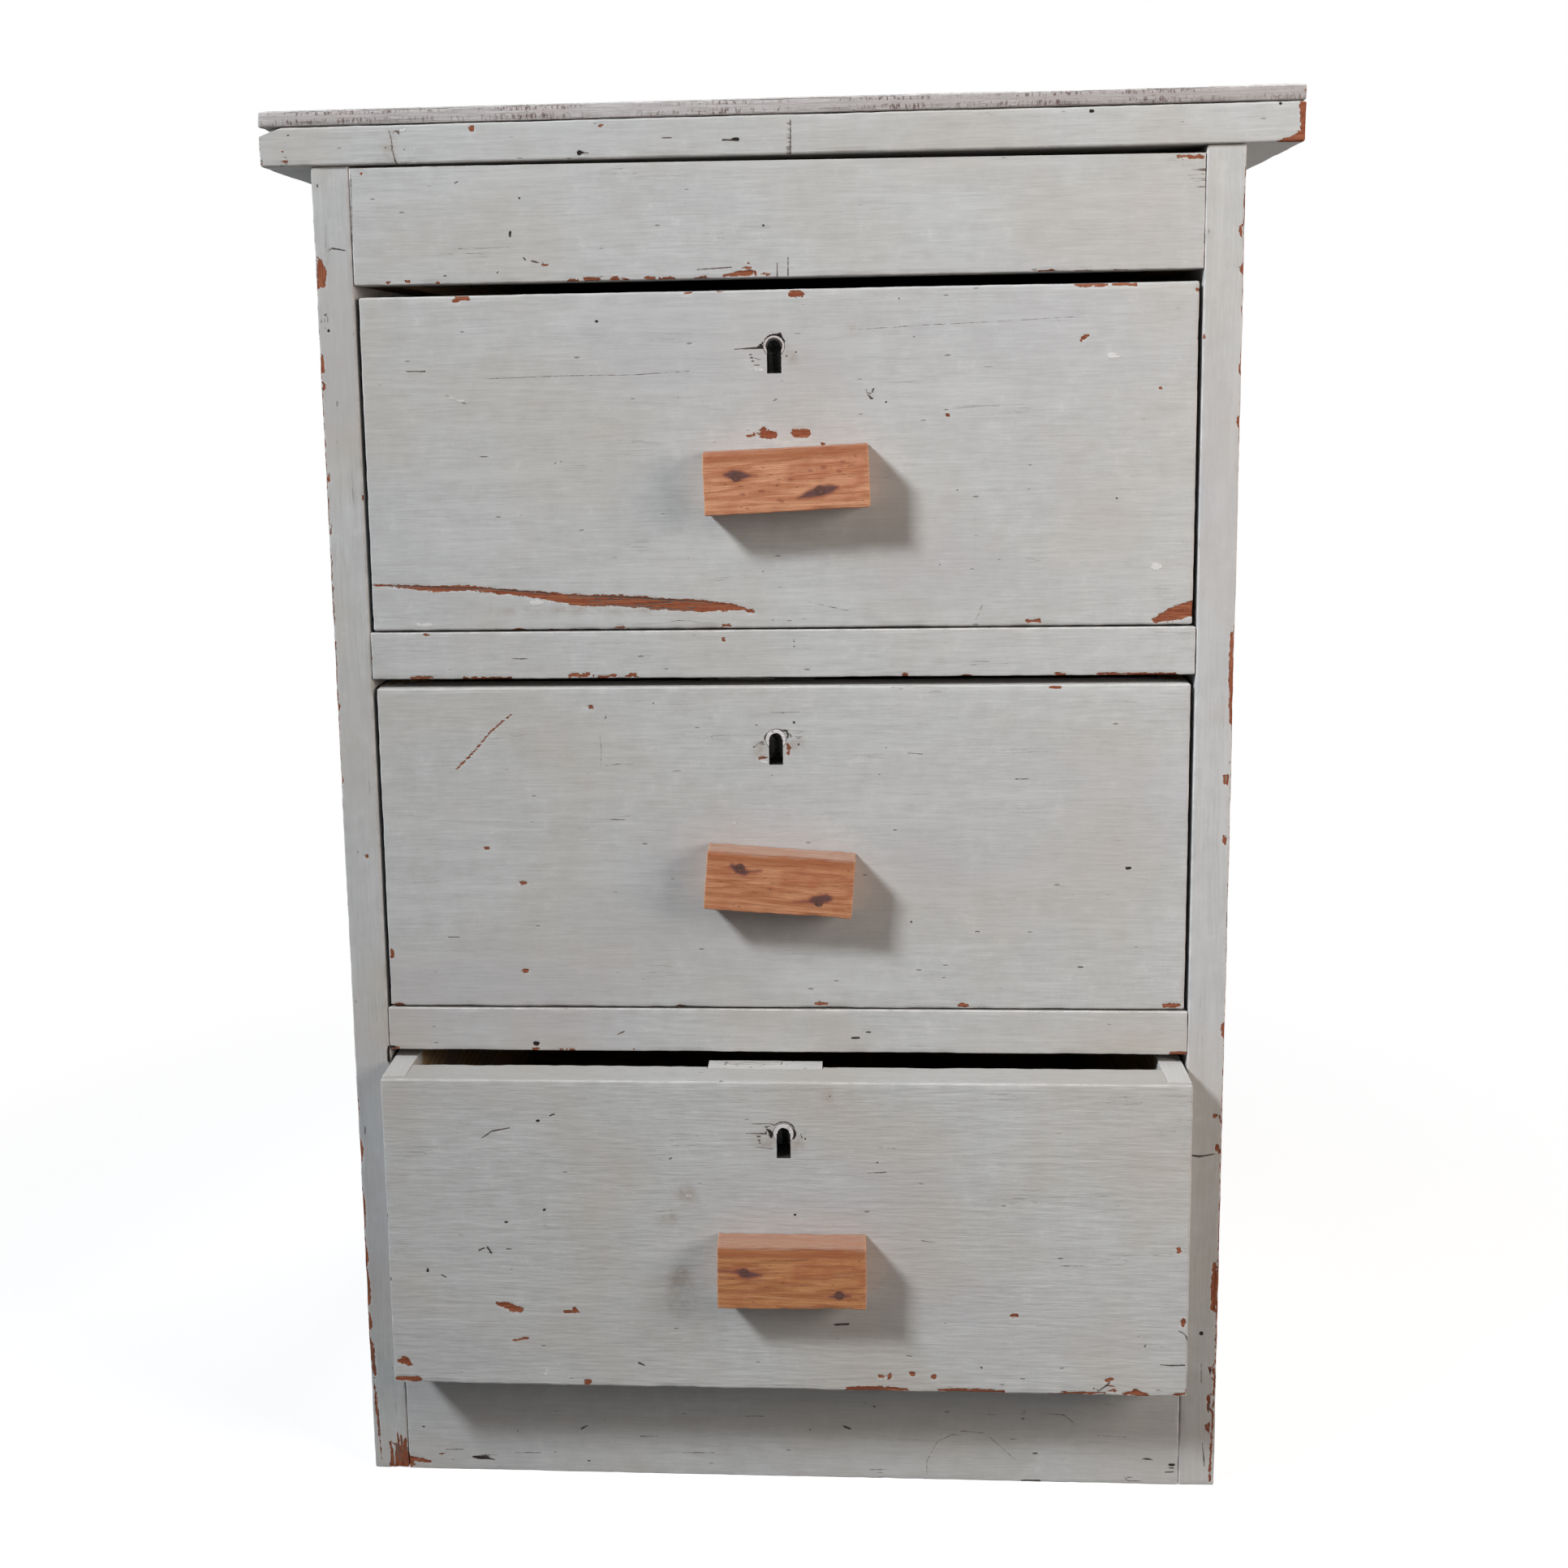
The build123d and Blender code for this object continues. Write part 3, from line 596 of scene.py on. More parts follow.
# Nails. Wire nails through the frame, the top, the back boards, the drawer corners and the
# handles, and the locks' screws. They were driven flush, and damp has turned them brown.
def rusty_steel(name):
    """Mild steel wire gone over with brown rust: matt, grainy and nearly without shine."""
    material, tree, shader = new_material(name)
    crust = clouds(tree, place_in_mm(tree), 4, 0.7, 1.1)
    brown = layered(tree, "#3A2522", ("#6E4538", crust, 0.38, 0.66))
    dress(tree, shader, brown, crust, {"Metallic": 0.25, "Roughness": 0.7}, 0.25 * mm)
    return material


rust = rusty_steel("rusty wire nail steel")
for node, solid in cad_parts.items():
    if node.endswith("_nails") or node.endswith("_screws"):
        recoat(solid, rust)


# Top. A thick pine board nailed on the side boards, and a thin rough-sawn board on it, both
# overhanging at the front and ends. Its edge was never planed, so dirt sits in the saw marks.
def worn_top_board(name):
    """Rough-sawn pine edge and a worn top under thin grey paint: fuzzy grey-lilac fibres, brown
    dirt in two rows of slanting saw marks, and wood showing through where it was rubbed."""
    material, tree, shader = new_material(name)
    place = place_in_mm(tree)
    slanted = add(tree, "Mapping", {"Vector": place, "Rotation": (0, math.radians(24), 0),
                                    "Scale": (1 / 1.5, 1 / 6, 1 / 4.5)})
    saw = clouds(tree, slanted, 3, 0.6)
    fibre = clouds(tree, stretched(tree, place, 0, 26, 1.1), 5, 0.7)
    patch = clouds(tree, stretched(tree, place, 0, 70, 26), 3)
    grit = clouds(tree, stretched(tree, place, 0, 2.6, 1.3), 4, 0.75)
    across, _, up = add(tree, "SeparateXYZ", {0: place}).outputs
    low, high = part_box("top_overlay")
    rise = ramp(tree, up, low.z / mm, high.z / mm)
    rows = []
    for middle, reach in ((0.24, 0.24), (0.74, 0.16)):
        off = calc(tree, "ABSOLUTE", calc(tree, "SUBTRACT", rise, middle))
        rows.append(ramp(tree, off, reach, 0.35 * reach))
    row = calc(tree, "MAXIMUM", *rows)
    sawn = calc(tree, "MULTIPLY", row, ramp(tree, patch, 0.36, 0.52))
    ticks = calc(tree, "MULTIPLY", ramp(tree, saw, 0.52, 0.62), sawn)
    dirt = calc(tree, "MULTIPLY", ramp(tree, grit, 0.58, 0.70), ramp(tree, patch, 0.42, 0.60, 0.85))
    dark = calc(tree, "MAXIMUM", ticks, dirt)
    # A near-white band along the upper arris is a painted highlight.
    top_arris_highlight = ramp(tree, calc(tree, "MULTIPLY_ADD", grit, 3, kept(tree, "edge")), 3.0, 1.9, 0.85)
    bare_depth, _ = within_mark(tree, "bare")
    bare = ramp(tree, calc(tree, "MULTIPLY_ADD", grit, 3, bare_depth), 1.3, 1.8)
    wood = layered(tree, "#9A5C3C", ("#66392A", fibre, 0.35, 0.6))
    body = layered(tree, "#C6C3C2", ("#ABA5A4", fibre, 0.36, 0.66), ("#C2B4B0", patch, 0.50, 0.66, 0.6),
                   ("#9C9592", across, -40, 220, 0.45), ("#66504A", calc(tree, "MULTIPLY", dark, 0.85)),
                   ("#E2E0DE", calc(tree, "MULTIPLY", top_arris_highlight, ramp(tree, rise, 0.5, 0.9))),
                   (wood, bare))
    height = summed(tree, (saw, 0.3), (fibre, 0.4), (grit, 0.3), (dark, -0.4))
    dress(tree, shader, body, height, {"Roughness": 0.72, "Specular IOR Level": 0.2})
    return material


def break_corner(piece, corner, reaches):
    """Takes a board's corner off along a plane that meets its three edges at these distances."""
    ends = [corner + Vector([reach if side == axis else 0 for side in range(3)])
            for axis, reach in enumerate(reaches)]
    across = (ends[1] - ends[0]).cross(ends[2] - ends[0])
    if across.dot(corner - ends[0]) < 0:
        across.negate()
    shape = bmesh.new()
    shape.from_mesh(piece.data)
    cut = bmesh.ops.bisect_plane(shape, geom=shape.verts[:] + shape.edges[:] + shape.faces[:],
                                 plane_co=ends[0], plane_no=across, clear_outer=True)
    rim = [item for item in cut["geom_cut"] if isinstance(item, bmesh.types.BMEdge)]
    bmesh.ops.edgeloop_fill(shape, edges=rim)
    shape.to_mesh(piece.data)
    shape.free()


top_bare = [
    (580.9, 158, 7, 8), (351, 199, 9, 2), (321.5, 202, 4, 3), [(1606, 123, 3), (1606, 132, 4.5),
     (1608, 148, 5), (1610, 165, 8)], [(1574, 176, 1.5), (1588, 173, 5), (1604, 171, 8),
     (1614, 167, 8)], (348, 187, 6, 3), (1180, 131, 26, 3), (740, 154, 10, 2.5),
]
top_dark = [
    (355, 167, 3.4, 1.8, -20), (319.6, 172, 0.8, 5), (320, 184, 0.8, 8), (323.4, 200, 4, 1.4, 50),
    (320.8, 197, 1.0, 5), (349.5, 193, 3, 1.0, -60), (346, 201, 3, 1.0, 60), (354, 195, 5, 0.9, 20),
    (353, 202.5, 6, 1.4), (346.5, 206, 3, 0.9), (713.9, 188.5, 6, 6), (721, 188.5, 10, 1.2),
    (907, 171.6, 8, 5), (897, 172.6, 16, 2.2), (822, 170, 14, 1.4), (969.7, 168, 1.5, 44),
    (974, 168, 1.5, 44), (640, 195, 8, 1.2), [(479, 160, 0.3), (482, 171, 0.5), (484, 186, 0.6),
     (487, 199, 0.9), (491, 206, 0.5)], (475.5, 182.5, 2.4, 1.4), (489, 160.5, 6, 1.0, -10),
    (491, 165.5, 4, 1.0, 20), (498, 183, 0.9, 4), (1345, 137, 7, 4), (1578, 127, 4, 4),
    (1556, 146, 8, 1.0), (1455, 150, 9, 1.0), [(1516, 186, 0.5), (1550, 185.5, 1.0), (1588, 184, 0.7)],
]
top_stain = [
    [(479, 163, 1), (482, 184, 5), (488, 202, 3)], [(476, 180, 2), (476, 188, 2)],
]
# The first stroke, along the lower board's top arris, is a painted highlight.
top_pale = [
    [(1330, 129.5, 0.4), (1400, 128.5, 0.8), (1480, 126.3, 0.8), (1604, 123, 0.6)],
    (497, 160, 13, 3, -12), (503, 203, 20, 4, -14), (496, 199, 5, 4), (509, 184, 3, 8),
]
top = timber("top_board_lower", "top_board", (2.2, 9.0, 2.2), 1.4, 1.5)
low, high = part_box("top_board")
break_corner(top, Vector((low.x, low.y, high.z)), (15 * mm, 70 * mm, -5.5 * mm))
weather(top, *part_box("top_board"), top_bare, top_dark, top_pale, top_stain)
finish_piece(top, "carcass", paint_across, "grey_paint", "top_board")

overlay_bare = [
    (1235, 134, 10, 4), (1345, 133, 8, 4), (1396, 130, 84, 3.4), (1577, 126, 10, 4), (1609, 111, 3, 3),
    (1290, 108, 20, 2),
]
overlay = timber("top_board_thin", "top_overlay", (2.2, 9.0, 1.6), 1.2, 1.5)
weather(overlay, *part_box("top_overlay"), overlay_bare, hollows=0.35, rounding=0.8)
finish_piece(overlay, "carcass", worn_top_board("rough-sawn pine under worn grey paint"),
             "worn_top", "top_overlay")


# Drawer fronts. One painted pine board each, rebated at the ends for the drawer's sides. The
# upper one has split along its grain, and the paint has chipped from it to the wood.
upper_front_bare = [
    [(458, 721, 1), (503, 723, 2), (537, 726, 4), (575, 724, 3), (609, 728, 3), (644, 731, 3.5),
     (678, 735, 5), (716, 740, 7), (764, 740, 7), (816, 744, 7), (868, 747, 7.5), (902, 748, 4),
     (916, 750, 2)], (925, 753, 10, 5), (569, 367, 18, 7), (562, 371, 10, 4), (847, 361, 10, 4),
    (888, 359, 12, 3), (981, 362, 20, 8), (1344, 350.5, 40, 5), (1386, 350, 31, 5), (923, 537, 9, 4),
    (947, 536, 22, 9), (938, 531, 14, 4, -25), (987, 533.5, 24, 11), (1014.7, 547.5, 5, 2),
    (1168, 511, 5, 4), (1336, 416, 14, 4, -35), (1430, 478, 5, 5), (1476, 357, 6, 5), (1478, 417, 4, 6),
    [(1424, 764, 4), (1450, 755, 9), (1474, 748, 9)], [(676, 776, 0.4), (780, 777, 0.8),
     (890, 775, 0.4)], (1273, 765, 20, 4), (765, 773, 14, 3.5), (895, 771, 12, 3.5), (640, 776, 16, 3),
]
upper_front_dark = [
    [(474, 722, 0.5), (537, 724, 0.7), (609, 726.5, 0.6), (678, 732, 0.8)], [(700, 735, 0.4),
     (760, 735.5, 0.9), (816, 739, 0.9), (880, 743, 0.6)], [(724, 744, 0.3), (790, 747.5, 0.7),
     (856, 752, 0.5)], [(592, 467, 0.2), (700, 463, 0.4), (780, 462, 0.3), (850, 457, 0.2)],
    (1107.7, 368, 2.4, 2), [(1058, 406, 0.2), (1130, 401, 0.3), (1230, 396, 0.2), (1330, 390, 0.1)],
    (1126, 415, 3, 1.6), (1067.5, 481, 2.6, 1.8), (1076, 480, 4, 2.2, -40), (1070, 487, 1.4, 4),
    (1074, 491, 4.5, 2.6), (1092, 495.5, 3, 2.4), (835, 489.5, 3, 1.2), (955, 493, 6, 1.4, -20),
    (983, 411, 10, 0.8), (964, 469, 5, 1.0), (551, 488, 8, 1.0, 8), (572, 497, 8, 1.0, 12),
    (684.5, 571, 2.4, 1.6), (690.5, 569, 2.4, 1.4), (1179.6, 604, 2, 1.6), (1158, 696, 1.6, 1.4),
    [(819, 767, 0.1), (835, 764.5, 0.3), (850, 764.6, 0.3), (864, 768, 0.1)], [(997, 742, 0.1),
     (1025, 748, 0.3), (1047, 753, 0.1)], (952, 764, 6, 0.8), (972, 765, 8, 0.8), (990, 763, 6, 0.8),
    [(1201, 765, 0.2), (1207, 755, 0.3), (1212, 740, 0.1)], (958, 685, 8, 1.0, -5),
    (940, 704.6, 2, 1.6), (960, 723.6, 3, 1.0), (757, 687, 8, 0.9), (1137, 518, 10, 0.7),
    (1219, 452, 16, 0.8), (735, 396, 6, 3), (512, 458, 26, 1.4), [(904, 430.5, 0.6), (922, 429.5, 0.9),
     (940, 428.5, 1.6)], (937.5, 426, 4.5, 5), [(943, 418.5, 1), (948, 414.5, 1.8), (956, 412.5, 1.8),
     (962, 416, 2.4), (966, 421, 1.6)], (961, 411, 2, 5), (925.2, 440.8, 3.4, 1.8, -20),
    (981.2, 434, 3.6, 2), (932, 450, 10, 1.1), (969, 439, 2.4, 2), (936, 443, 7, 0.9),
    (1376, 614, 3.4, 2), (596, 563, 12, 1.0),
]
upper_front_pale = [
    [(744, 598, 0.4), (736, 614, 0.3)], (1372, 438, 18, 6), (1425, 698, 14, 8), (661, 742, 18, 7),
    (523, 770, 20, 5), (935, 455, 13, 5), (968, 418, 5, 5), (967.5, 454.5, 5, 3.5),
    (566, 494, 24, 2.5, 8), (948, 408, 12, 2), (839, 491.5, 8, 2.4), (562, 492, 16, 2.4, 15),
    (466, 368, 4, 3), (496, 384, 6, 2.5),
]
upper_front_stain = [
    (969, 433, 5, 14), (975, 440, 8, 12), (1050, 406.5, 10, 5, -8), (700, 752, 200, 3),
]

middle_front_bare = [
    (728, 871, 7, 3.4), (645, 1088, 9, 4.4), (600, 1045, 7, 4), (648, 1196, 9, 5), (473, 1105, 4, 9),
    (483, 1175, 4, 12), (490, 1238, 16, 4), (680, 1242, 24, 3.5), (1012, 1237, 18, 4),
    (1187, 1238, 14, 4), (1443, 1239, 22, 5), (940, 934.3, 13, 3.4, -3), [(970, 916, 1.2),
     (971.8, 922, 2.6), (971.5, 929, 1.2)], [(630, 880, 0.8), (604, 902, 1.0), (586, 924, 0.8),
     (562, 948, 1.0)], (1300, 847, 16, 3), (560, 1241, 10, 3), (840, 1240, 12, 3),
]
middle_front_dark = [
    [(747, 880, 0.4), (746, 886, 0.7), (741, 889, 0.4)], (805, 866, 1.2, 4), [(942, 911, 0.7),
     (943, 907, 1.5), (948, 902, 0.9), (955, 898.8, 0.7), (963, 899.5, 0.7)], [(963, 900, 0.9),
     (970.5, 901, 1.3), (971.2, 906, 1.3), (970, 911, 0.7)], (928.8, 920.3, 2.8, 2.0),
    (984, 917.5, 2.4, 2.2), (978.5, 890.3, 3, 2.6), (951, 955.5, 4, 1.2), [(935, 936, 0.5),
     (946, 933, 0.7)], [(969, 918, 0.5), (974, 926, 0.5)], [(932, 914, 0.2), (941, 913.6, 0.5)],
    [(933, 917.5, 0.2), (942, 917.2, 0.5)], [(934, 921, 0.2), (942, 920.5, 0.4)], (984, 908, 12, 0.7),
    [(739, 905, 0.1), (741, 925, 0.3), (740, 945, 0.1)], [(744, 944, 0.1), (765, 941, 0.3),
     (782, 942, 0.1)], (835, 950, 12, 0.7), (1128, 928.6, 20, 0.8, 4), (1092, 921.4, 2, 1.6),
    (1083, 954.6, 8, 0.9, -30), [(949, 877.3, 0.2), (966, 878.2, 0.4), (985, 877.3, 0.2)],
    (1123, 1136, 2.6, 2.4), (1204, 1148, 7, 1.4), (1103, 1023, 5, 1.2), (931.5, 893.4, 5, 1.2),
    (560, 1155, 16, 1.3), (1260, 960, 18, 1.2), (1390, 1070, 8, 3), (1331, 1192, 10, 1.6),
    (760, 1010, 22, 1.0),
]
# The long thin stroke along the top arris, at 963 across, is a painted highlight.
middle_front_pale = [
    (942, 939.5, 9, 3), (957, 945.5, 10, 2.5), (939, 928, 8, 2), (904, 1014, 10, 4),
    (963, 848.6, 50, 1.4), (738, 887, 6, 2),
]
middle_front_stain = [
    (980, 918, 14, 12), (938, 926, 16, 14),
]

lower_front_bare = [
    [(613, 1606, 2), (622, 1608, 4), (632, 1612, 5), (642, 1614, 3)], (704, 1616, 20, 3.4),
    (708, 1613, 5, 6), (641, 1650, 20, 3, -6), [(492, 1677, 2), (498, 1676, 5), (505, 1680, 3)],
    (504, 1699, 32, 7, 4), (1453, 1540, 6, 8), (1249, 1621, 10, 4), (1458, 1630, 5, 10),
    (636, 1709, 14, 4), (712, 1709, 34, 4), (725, 1702, 8, 7), (765, 1711, 10, 3), (815, 1712, 26, 3),
    (1086, 1696, 8, 4, 10), (1096, 1695.5, 7, 7), (1124, 1693, 7, 6), (1151, 1696, 7, 6),
    [(1042, 1711, 1), (1056, 1711, 3), (1090, 1711.5, 3), (1118, 1712, 1)], [(1156, 1713, 1.5),
     (1180, 1714, 3.4), (1236, 1715, 2)], [(1290, 1718, 1.2), (1330, 1717, 2), (1362, 1716, 1)],
    [(1366, 1714, 0.8), (1372, 1712.5, 1.5), (1376, 1714, 0.8)], (1367, 1700, 11, 6, -20),
    [(1386, 1718, 1.5), (1400, 1716, 3.4), (1414, 1719, 1.5)], (1452, 1719, 18, 4, -15),
    (1464, 1710, 4, 8), (990, 1714, 8, 3), (480, 1576, 4, 5), (476, 1500, 3, 10),
]
lower_front_dark = [
    (1037, 1632, 20, 2.6, -3), (663, 1381, 6, 3, -10), (680, 1374, 8, 2, -20), (826, 1428, 5, 1.8, -30),
    (979.5, 1497, 3.4, 3), (1081, 1433, 2.4, 2), (1022.5, 1351, 2, 2), [(953, 1388, 0.6),
     (958, 1384, 0.9), (965.5, 1382.4, 0.9), (973.5, 1384.5, 0.9), (978.5, 1390, 0.9)],
    [(944, 1391, 0.6), (950.5, 1396, 2.2), (950.5, 1402, 1.4)], (935.5, 1405.3, 2, 2),
    (992.2, 1403.4, 1.8, 2.6), [(977.5, 1392.7, 1.2), (980, 1397, 1.8), (977.5, 1403.4, 1.2)],
    [(924, 1384.7, 0.2), (940, 1384.9, 0.4), (954, 1385, 0.6)], [(918.6, 1396.7, 0.3), (935, 1397, 0.6),
     (950, 1397.5, 1)], [(929, 1412.8, 0.2), (954, 1416, 0.4)], [(983, 1393.2, 0.3), (995, 1394, 0.2)],
    (857, 1330.6, 24, 1.4), (891, 1331, 11, 1.8, -6), (1102, 1331.8, 18, 1.2), (1072, 1331.4, 3, 1.6),
    (920, 1379.8, 8, 0.8), (671, 1491, 6, 3), (624, 1506, 6, 2.5), (527, 1565, 3, 5), [(590, 1541, 0.8),
     (600, 1536, 1.0), (606, 1545, 1.2)], (627, 1539, 8, 1.6), (546, 1572, 10, 1.4, 30),
    [(590, 1405, 0.5), (606, 1394, 0.9), (628, 1390, 0.7)], (480.5, 1576, 4, 4),
    (791, 1681, 10, 2.4, 25), [(1354, 1714, 0.8), (1364, 1707, 1.0), (1368, 1703, 0.8)],
    (1348, 1711, 3, 1.6, -60), (1428, 1713, 8, 1.2), [(1430, 1682, 0.5), (1444, 1683, 1.0),
     (1460, 1682.5, 1.0)], (1411, 1659, 4, 1.4, -50), (1432, 1660, 5, 0.9), [(1452, 1640, 0.6),
     (1460, 1644, 0.9), (1464, 1652, 0.8)], (1209, 1685.5, 4, 1.6, 30), (1120, 1671, 10, 1.0, 8),
    (1309, 1686, 8, 0.8, -5), (1260, 1699, 8, 0.8), (1092, 1415, 26, 0.8, 4), (1081, 1445, 28, 1.0, -3),
    (1144, 1530, 22, 0.8, 8), (672, 1510, 8, 1), (1320, 1560, 30, 0.8), (820, 1492, 24, 0.8, -4),
]
lower_front_pale = [
    (674, 1690, 4, 12, 20), (848, 1474, 10, 4), (1095, 1490, 6, 3),
]
lower_front_stain = [
    (941, 1408, 26, 12), (982, 1410, 14, 14), (1022, 1352, 12, 12), (846, 1470, 30, 16, 40),
    (840, 1590, 30, 60), (822, 1500, 20, 10),
]
front_marks = {
    "upper": (upper_front_bare, upper_front_dark, upper_front_pale, upper_front_stain),
    "middle": (middle_front_bare, middle_front_dark, middle_front_pale, middle_front_stain),
    "lower": (lower_front_bare, lower_front_dark, lower_front_pale, lower_front_stain),
}
paint_rippled = grey_oil_paint("grey oil paint on pine with raised grain", 0, 0.36, 2.2)
# A near-black material for the keyholes' inner walls: painted shade.
keyhole_painted_shade, tree, shader = new_material("near-black painted shade in the keyholes")
feed(tree, shader, {"Base Color": tone("#14100E"), "Roughness": 0.9})
for drawer, marks in front_marks.items():
    node = drawer + "_drawer_front"
    front = timber(drawer + "_drawer_face", node, (2.2, 2.4, 2.2), 1.5, back_plain=True)
    weather(front, *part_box(node), *marks, rounding=0.6)
    finish_piece(front, drawer + "_drawer", paint_rippled if drawer == "lower" else paint_across,
                 "grey_paint", node)
    front.data.materials.append(keyhole_painted_shade)
    # The faces inside each keyhole take the near-black painted shade.
    low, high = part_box(drawer + "_drawer_keyhole_liner")
    for face in front.data.polygons:
        spot = face.center
        inside = low.x < spot.x < high.x and low.z - 12 * mm < spot.z < high.z
        if inside and abs(face.normal.y) < 0.6 and spot.y > low.y + 1.2 * mm:
            face.material_index = 1


# Drawer boxes. Softwood sides, nailed into the front's rebates, a back and a thin bottom in
# grooves. The front ends of the sides were painted over along with the fronts.
cheek_wood = bare_softwood("aged softwood of the drawer sides", 1, "#B2946C", "#86643F", -184.0)
panel_wood = bare_softwood("thin softwood drawer bottom", 0, "#A68660", "#7D5C3D")
for drawer in front_marks:
    for part, material in (("side_left", cheek_wood), ("side_right", cheek_wood),
                           ("back", softwood_across), ("bottom", panel_wood)):
        node = drawer + "_drawer_" + part
        slot = "bottom_panel" if part == "bottom" else "inner_softwood"
        plank = timber(node + "_plank", node, (5, 8, 5), 0.7)
        weather(plank, *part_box(node), hollows=0.12, rounding=0.3)
        finish_piece(plank, drawer + "_drawer", material, slot, node)


# Locks. A folded steel case let into the back of each front and painted over with it, a plain
# steel bolt that rises out of its top, and a leaf spring behind the bolt's tail.
def brushed_over_steel(name, light, deep, metal, matt, hole=None):
    """Sheet steel under brush paint, or bare and dull: fine scratches and a few dark spots. A keyhole
    liner is black within some distance of its key hole's middle, in mm, which covers its bore as
    painted shade and the inner edge of its face."""
    material, tree, shader = new_material(name)
    place = place_in_mm(tree)
    scratch = clouds(tree, stretched(tree, place, 0, 14, 0.6), 4)
    stains = clouds(tree, place, 5, 0.7, 4)
    coat = layered(tree, light, (deep, scratch, 0.35, 0.65), ("#4A3A33", stains, 0.60, 0.68))
    if hole:
        across, up, reach = hole
        steps = add(tree, "SeparateXYZ", {0: place})
        flat = add(tree, "CombineXYZ", {0: steps.outputs[0], 2: steps.outputs[2]})
        away = add(tree, "VectorMath", {0: flat, 1: (across, 0, up)}, operation="DISTANCE")
        rough = calc(tree, "MULTIPLY_ADD", stains, 1.6, away.outputs["Value"])
        coat = layered(tree, coat, ("#1A1412", rough, reach + 0.95, reach + 0.65))
    dress(tree, shader, coat, scratch, {"Metallic": metal, "Roughness": matt}, 0.12 * mm)
    return material


lock_paint = brushed_over_steel("grey paint on sheet steel", "#C4C4C2", "#AEADAB", 0.0, 0.5)
lock_steel = brushed_over_steel("dull steel", "#8C8883", "#6E6A66", 0.85, 0.45)
bolt_steel = brushed_over_steel("paint-smeared bolt steel", "#CFCECB", "#A5A29E", 0.2, 0.5)
liner_black_reach_and_zinc = {"upper": (5.0, "#C8BCBB"), "middle": (4.0, "#DEDCDC"), "lower": (3.6, "#DEDCDC")}
for drawer in front_marks:
    for part, material in (("case", lock_paint), ("bolt", bolt_steel), ("spring", lock_steel)):
        recoat(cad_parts[drawer + "_drawer_lock_" + part], material)
    low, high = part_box(drawer + "_drawer_keyhole_liner")
    width = (high.x - low.x) / mm
    black_reach, shine = liner_black_reach_and_zinc[drawer]
    zinc = brushed_over_steel("worn pale zinc of the " + drawer + " liner", shine, "#BAB4B2", 0.1, 0.42,
                              ((low.x + high.x) / 2 / mm, high.z / mm - width / 2, black_reach))
    recoat(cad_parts[drawer + "_drawer_keyhole_liner"], zinc)


# Handles. Offcuts of orange-brown pine, each held by two nails, which are sunk a little with
# rust run into the grain round them. Two sit crooked, and no two are the same size.
def oiled_pine(name, light, deep, top, worn):
    """Bare pine handled until it is dark and slightly greasy: reddish late-wood lines, small dark
    flecks, paler sawn ends, black-brown stains where the nails rusted, and a deeper band along the
    upper edge, which on two of the blocks goes pale and grey at the very top, partly from wear and dust
    and partly as painted light from above."""
    material, tree, shader = new_material(name)
    place = kept(tree, "timber", "Vector")
    drift = clouds(tree, stretched(tree, place, 0, 120, 11), 2)
    bands = calc(tree, "SINE", calc(tree, "MULTIPLY", drift, 34))
    fibre = clouds(tree, stretched(tree, place, 0, 16, 0.7), 5, 0.68)
    fleck = clouds(tree, stretched(tree, place, 0, 3.6, 1.3, 5), 3)
    cloud = clouds(tree, place, 3, size=16)
    up = add(tree, "SeparateXYZ", {0: place}).outputs[2]
    level = calc(tree, "MULTIPLY_ADD", fibre, 2.6, up)
    pale = calc(tree, "MULTIPLY_ADD", fibre, 9, level)
    sawn = calc(tree, "MULTIPLY", kept(tree, "end"), fibre)
    rust_depth, _ = within_mark(tree, "dark")
    frayed = calc(tree, "MULTIPLY_ADD", fibre, 1.6, rust_depth)
    wood = layered(tree, light, (deep, bands, -0.2, 1.0, 0.8), ("#DDA682", fibre, 0.50, 0.72, 0.55),
                   ("#8A4B2E", fibre, 0.48, 0.30, 0.55), ("#9B5433", cloud, 0.50, 0.72, 0.6),
                   ("#6A3A26", fleck, 0.64, 0.72, 0.7), ("#96552F", level, top - 7.0, top - 4.5, 0.65),
                   ("#A9978B", pale, top + 3.8, top + 6.6, worn),
                   ("#6E3B28", kept(tree, "edge"), 1.3, 0.0, 0.5), ("#D9A884", sawn, 0.30, 0.55, 0.8),
                   ("#8A4A34", frayed, -0.6, 1.2, 0.75), ("#4B2A28", frayed, 0.55, 1.9, 0.95))
    height = summed(tree, (fibre, 0.30), (bands, 0.05), (fleck, -0.12))
    dress(tree, shader, wood, height, {"Roughness": 0.55})
    return material


